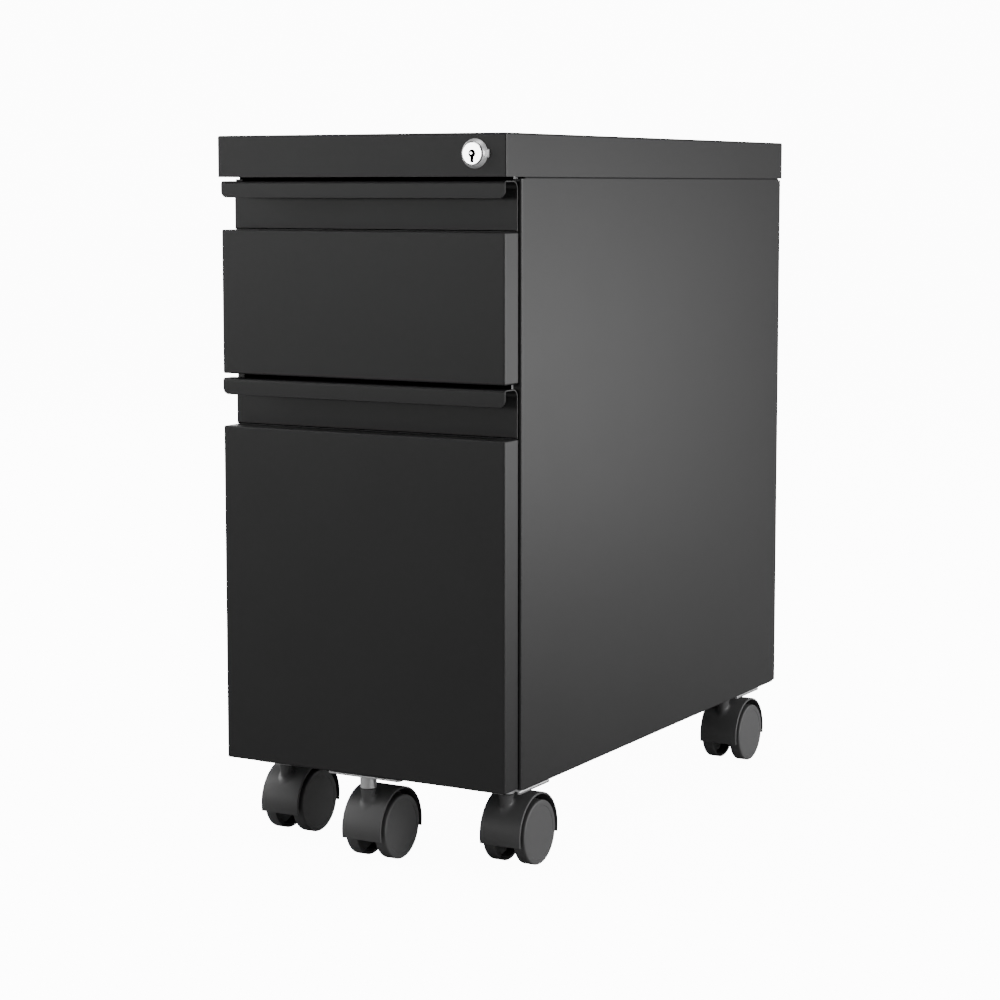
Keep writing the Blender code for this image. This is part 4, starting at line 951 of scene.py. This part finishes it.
dress(housing, SATIN_CHROME, "case", "lock_housing", TURNED_SHARP)

plug_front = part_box("lock_plug")[0].y - cap_front
plug_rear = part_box("lock_plug")[1].y - cap_front
core_end = lock_rear + GAP
plug_profile = [
    (0.0, plug_front),
    (FACE_RADIUS - FACE_BEVEL, plug_front),
    (FACE_RADIUS, plug_front + FACE_BEVEL),
    (FACE_RADIUS, HEAD_SEAT - GAP),
    (CORE_RADIUS, HEAD_SEAT - GAP),
    (CORE_RADIUS, core_end),
    (TAIL_RADIUS, core_end),
    (TAIL_RADIUS, plug_rear),
    (0.0, plug_rear),
]
plug = piece("lock_plug_turned", lathe(plug_profile, "Y", lock_centre, 96))
slot_angle = math.asin(KEYHOLE_SLOT / 2 / KEYHOLE_RADIUS)
hole_angle = np.linspace(slot_angle - math.pi / 2, 1.5 * math.pi - slot_angle, 33)
keyhole_outline = KEYHOLE_RADIUS * np.column_stack([np.cos(hole_angle), np.sin(hole_angle)])
slot_foot = [(-KEYHOLE_SLOT / 2, -KEYHOLE_REACH), (KEYHOLE_SLOT / 2, -KEYHOLE_REACH)]
keyhole_outline = np.concatenate([keyhole_outline, slot_foot]) + (lock_x, lock_z)
keyhole_ends = (cap_front + plug_front - 0.001, cap_front + HEAD_SEAT - 0.0006)
keyhole = piece("keyhole", stacked([placed(keyhole_outline, "XZ", along) for along in keyhole_ends]))
well_end = plug_front + KEYHOLE_DEPTH
well_profile = [(KEYHOLE_RADIUS, plug_front), (KEYHOLE_RADIUS, well_end)]
well = piece("well", lathe(well_profile, "Y", lock_centre, 48))
carve(plug, "DIFFERENCE", keyhole, well)
pin_at = (lock_x - PIN_ASIDE, cap_front, lock_z + PIN_UP)
pin_profile = [
    (0.0, plug_front + GAP),
    (PIN_RADIUS * 0.8, plug_front + GAP),
    (PIN_RADIUS, plug_front + 2 * GAP),
    (PIN_RADIUS, well_end),
    (0.0, well_end),
]
pin = piece("pin", lathe(pin_profile, "Y", pin_at, 32))
plug = joined("lock_plug_turned", plug, pin)
dress(plug, CHROME, "lock_core", "lock_plug", TURNED_SHARP)
plug.data.materials.append(KEYHOLE_PAINTED_SHADE)

# The faces inside the keyhole, all but the pin's, are painted near black: painted shade for the shadow down
# inside the keyhole.
middles = np.empty(len(plug.data.polygons) * 3, np.float32)
plug.data.polygons.foreach_get("center", middles)
across, along, up = (middles.reshape(-1, 3).astype(float) - lock_centre).T
out = np.hypot(across, up)
deep = along > plug_front + FACE_MARGIN
off_pin = np.hypot(across + PIN_ASIDE, up - PIN_UP) > PIN_RADIUS * 1.01
in_slot = (np.abs(across) < KEYHOLE_SLOT * 0.6) & (out < KEYHOLE_REACH + FACE_MARGIN)
dark = deep & off_pin & ((out < KEYHOLE_RADIUS * 1.02) | in_slot)
plug.data.polygons.foreach_set("material_index", dark.astype(np.int32))

for node in ("lock_nut", "lock_cam", "lock_bar", "lock_bar_channel", "box_drawer_catch", "file_drawer_catch"):
    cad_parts[node].material_slots[0].material = ZINC_PLATE

# ---------------------------------------------------------------------------------------------
# Caster plates: pressed zinc-plated steel with a turned collar and stem. The corner plates are
# shallow pans with a notch at the front outer corner; the fifth is flat under the file drawer.

PLATE_THICKNESS = 0.002
PLATE_BEND = 0.0028
PLATE_CORNER = 0.003
NOTCH_CORNER = 0.0095
NOTCH_REACH = 0.006
NOTCH_SLANT = 0.0024
COLLAR_RADIUS = 0.0064
COLLAR_EASE = 0.0005
STEM_RADIUS = 0.003
PLATE_RISE = 0.0052
PLATE_EASE = 0.0003
CUT_BEYOND = 0.001
CASTER_TRAIL = 0.0195

corner_spots = ("front_left", "front_right", "rear_left", "rear_right")
spots = (*corner_spots, "fifth")
stems = {}
for spot in spots:
    low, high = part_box(f"caster_hood_{spot}")
    wheel_low, wheel_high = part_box(f"wheel_{spot}_left")
    hood_radius = (high.y - low.y) / 2
    axle_y = (wheel_low.y + wheel_high.y) / 2
    stems[spot] = ((low.x + high.x) / 2, axle_y - CASTER_TRAIL, (wheel_low.z + wheel_high.z) / 2)

for spot in spots:
    stem_x, stem_y, _ = stems[spot]
    low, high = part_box(f"caster_plate_{spot}")
    neck_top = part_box(f"caster_hood_{spot}")[1].z
    flat = spot == "fifth"
    side = 1 if stem_x > 0 else -1
    if flat:
        bottom = high.z - PLATE_THICKNESS
        profile = np.array([(0.25, 0.0), (0.0, 0.25), (0.0, 0.75), (0.25, 1.0)]) * PLATE_THICKNESS
    else:
        bottom = neck_top + PLATE_RISE
        profile = pan_profile(high.z - bottom, PLATE_BEND, PLATE_THICKNESS)
    loops = [
        placed(rounded_loop(low.xy, high.xy, PLATE_CORNER, inset), "XY", bottom + height)
        for inset, height in profile
    ]
    plate = piece("plate", stacked(loops))
    if not flat:
        edge = side * (high.x - low.x) / 2 + stem_x
        inner_edge = edge - side * NOTCH_CORNER
        notch_outline = np.array([
            (inner_edge - side * NOTCH_SLANT, low.y - CUT_BEYOND),
            (inner_edge, low.y + NOTCH_REACH),
            (edge + side * CUT_BEYOND, low.y + NOTCH_REACH),
            (edge + side * CUT_BEYOND, low.y - CUT_BEYOND),
        ])
        heights = (bottom - CUT_BEYOND, high.z + CUT_BEYOND)
        notch_loops = [placed(notch_outline, "XY", height) for height in heights]
        carve(plate, "DIFFERENCE", piece("notch", stacked(notch_loops)))
    ease_edges(plate, PLATE_EASE)
    collar_profile = [
        (0.0, low.z),
        (STEM_RADIUS - COLLAR_EASE, low.z),
        (STEM_RADIUS, low.z + COLLAR_EASE),
        (STEM_RADIUS, neck_top + GAP),
        (COLLAR_RADIUS - COLLAR_EASE, neck_top + GAP),
        (COLLAR_RADIUS, neck_top + GAP + COLLAR_EASE),
        (COLLAR_RADIUS, high.z - PLATE_THICKNESS / 2),
        (0.0, high.z - PLATE_THICKNESS / 2),
    ]
    stem = piece("stem", lathe(collar_profile, "Z", (stem_x, stem_y, 0.0), 48))
    plate = joined(f"plate_{spot}", plate, stem)
    body = "file_drawer" if flat else "case"
    dress(plate, ZINC_PLATE, body, f"caster_plate_{spot}", TURNED_SHARP)

# ---------------------------------------------------------------------------------------------
# Caster hoods: glass-filled nylon, moulded in one piece as a drum over both wheels with a web
# between them, and a tapered neck that swivels on the stem. Matte black.

HOOD_WALL = 0.0015
HOOD_SKIRT = math.radians(11.2)
HOOD_EDGE = 0.0007
HOOD_WEB = 0.004
HUB_RADIUS = 0.007
NECK_RADIUS = 0.0063
NECK_WAIST = 0.0048
NECK_FILLET = 0.0028
STEM_BORE = 0.0033
STEM_DEPTH = 0.0168
NECK_SINK = 0.004
NECK_OVERLAP = 0.00005

HOOD_PLASTIC = coated(
    "hood_nylon", (0.066, 0.066, 0.067), (0.078, 0.078, 0.079), (0.44, 0.52), 1300.0, 0.000012
)

hood_low, hood_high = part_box("caster_hood_front_right")
wheel_height = stems["front_right"][2]
hood_half = (hood_high.x - hood_low.x) / 2
drum_angle = np.linspace(-HOOD_SKIRT, math.pi + HOOD_SKIRT, 49)
drum_circle = np.column_stack([np.cos(drum_angle), np.sin(drum_angle)])
drum_centre = np.array((CASTER_TRAIL, wheel_height))


def crescent(outer_radius, inner_radius):
    """The closed outline between two arcs of the drum, as (n, 2) points in Y and Z."""
    return np.concatenate([drum_circle * outer_radius, drum_circle[::-1] * inner_radius]) + drum_centre


ease_angle = np.linspace(0, math.pi / 2, 5)
ease = HOOD_EDGE * (1 - np.sin(ease_angle))
ease_in = HOOD_EDGE * (1 - np.cos(ease_angle))
drum_stations = np.concatenate([-hood_half + ease_in, hood_half - ease_in[::-1]])
drum_radii = hood_radius - np.concatenate([ease, ease[::-1]])
drum_loops = [
    placed(crescent(radius, hood_radius - HOOD_WALL), "YZ", across)
    for across, radius in zip(drum_stations, drum_radii)
]
hood = piece("hood", stacked(drum_loops))
hub = np.linspace(math.radians(200), math.radians(340), 13)
hub_arc = np.column_stack([np.cos(hub), np.sin(hub)]) * HUB_RADIUS
web_outline = np.concatenate([drum_circle * (hood_radius - HOOD_WALL / 2), hub_arc]) + drum_centre
web = piece("web", stacked([placed(web_outline, "YZ", -HOOD_WEB), placed(web_outline, "YZ", HOOD_WEB)]))

neck_top = hood_high.z
around = np.linspace(0, math.tau, 48, endpoint=False)
taper = np.linspace(0, 1, 9)
fillet = np.linspace(0, math.pi / 2, 8)[1:]
taper_radii = NECK_RADIUS + (NECK_WAIST - NECK_RADIUS) * taper
fillet_radii = NECK_WAIST + NECK_FILLET * (1 - np.cos(fillet))
neck_radii = np.concatenate([taper_radii, fillet_radii])
neck_shares = np.concatenate([taper, np.ones(len(fillet))])
fillet_lifts = NECK_FILLET * (1 - np.sin(fillet)) - NECK_OVERLAP
neck_lifts = np.concatenate([np.full(len(taper), NECK_FILLET), fillet_lifts])
neck_x = neck_radii[:, None] * np.cos(around)
neck_y = neck_radii[:, None] * np.sin(around)
drum_height = wheel_height + np.sqrt(hood_radius**2 - (neck_y - CASTER_TRAIL) ** 2)
neck_z = neck_top + (drum_height + neck_lifts[:, None] - neck_top) * neck_shares[:, None]
neck_loops = np.stack([neck_x, neck_y, neck_z], axis=-1)
neck_foot = neck_loops[-1] * (0.5, 0.5, 1.0) - (0.0, 0.0, NECK_SINK)
neck = piece("neck", stacked(np.concatenate([neck_loops, neck_foot[None]])))
carve(hood, "UNION", web, neck)
socket_profile = [(STEM_BORE, neck_top - STEM_DEPTH), (STEM_BORE, neck_top + CUT_BEYOND)]
socket = piece("socket", lathe(socket_profile, "Z", (0, 0, 0), 32))
axle_bore = piece("axle_bore", lathe([(STEM_BORE, -0.01), (STEM_BORE, 0.01)], "X", (0, *drum_centre), 32))
carve(hood, "DIFFERENCE", socket, axle_bore)
hood_points, hood_faces = shell_of(hood)
for spot in spots:
    stem_x, stem_y, _ = stems[spot]
    hood = piece(f"hood_{spot}", (hood_points + (stem_x, stem_y, 0.0), hood_faces))
    dress(hood, HOOD_PLASTIC, f"caster_{spot}", f"caster_hood_{spot}", TURNED_SHARP)

# ---------------------------------------------------------------------------------------------
# Wheels: two moulded nylon cups on each caster, open towards the middle, on a plated steel axle
# pressed through the hood's web. The outer disc is flat and stands just proud of the hood's edge.

WHEEL_RIM = 0.0024
WHEEL_EDGE = 0.0012
WHEEL_DISC = 0.0025
DISH_RADIUS = 0.0205
DISH_DEPTH = 0.00025
AXLE_EASE = 0.0004
DISC_PROUD = 0.0015
WHEEL_WIDTH = 0.010
WHEEL_EASE = 0.0003
AXLE_POCKET = 0.0032

WHEEL_PLASTIC = coated(
    "wheel_nylon", (0.072, 0.072, 0.073), (0.084, 0.084, 0.085), (0.42, 0.50), 1500.0, 0.000012
)

for spot in spots:
    stem_x, stem_y, _ = stems[spot]
    for hand, side in (("left", -1), ("right", 1)):
        low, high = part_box(f"wheel_{spot}_{hand}")
        radius = (high.z - low.z) / 2
        centre = (stem_x, (low.y + high.y) / 2, (low.z + high.z) / 2)
        face = max(abs(low.x - stem_x), abs(high.x - stem_x)) + DISC_PROUD
        hub_end = min(abs(low.x - stem_x), abs(high.x - stem_x))
        tread_end = face - WHEEL_WIDTH
        rounding = WHEEL_EDGE * quarter_turn(0)
        outer_round = rounding[::-1] + (radius - WHEEL_EDGE, face - WHEEL_EDGE)
        inner_round = rounding * (0.5, -0.5) + (radius - WHEEL_EDGE / 2, tread_end + WHEEL_EDGE / 2)
        profile = [
            (0.0, face - DISH_DEPTH),
            (DISH_RADIUS, face - DISH_DEPTH),
            (DISH_RADIUS + DISH_DEPTH, face),
            *outer_round,
            *inner_round,
            (radius - WHEEL_RIM + WHEEL_EASE, tread_end),
            (radius - WHEEL_RIM, tread_end + WHEEL_EASE),
            (radius - WHEEL_RIM, face - WHEEL_DISC),
            (HUB_RADIUS, face - WHEEL_DISC),
            (HUB_RADIUS, hub_end + WHEEL_EASE),
            (HUB_RADIUS - WHEEL_EASE, hub_end),
            (STEM_BORE, hub_end),
            (STEM_BORE, face - AXLE_POCKET),
            (0.0, face - AXLE_POCKET),
        ]
        shell = lathe([(across, side * along) for across, along in profile], "X", centre, 80)
        wheel = piece(f"tyre_{spot}_{hand}", shell)
        turning_part = f"wheel_{spot}_{hand}"
        dress(wheel, WHEEL_PLASTIC, turning_part, turning_part, TURNED_SHARP)
    low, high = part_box(f"caster_axle_{spot}")
    radius, half = (high.z - low.z) / 2, (high.x - low.x) / 2
    profile = [
        (0.0, -half),
        (radius - AXLE_EASE, -half),
        (radius, AXLE_EASE - half),
        (radius, half - AXLE_EASE),
        (radius - AXLE_EASE, half),
        (0.0, half),
    ]
    axle = piece(f"axle_{spot}", lathe(profile, "X", centre, 32))
    dress(axle, ZINC_PLATE, f"caster_{spot}", f"caster_axle_{spot}", TURNED_SHARP)

low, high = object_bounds()
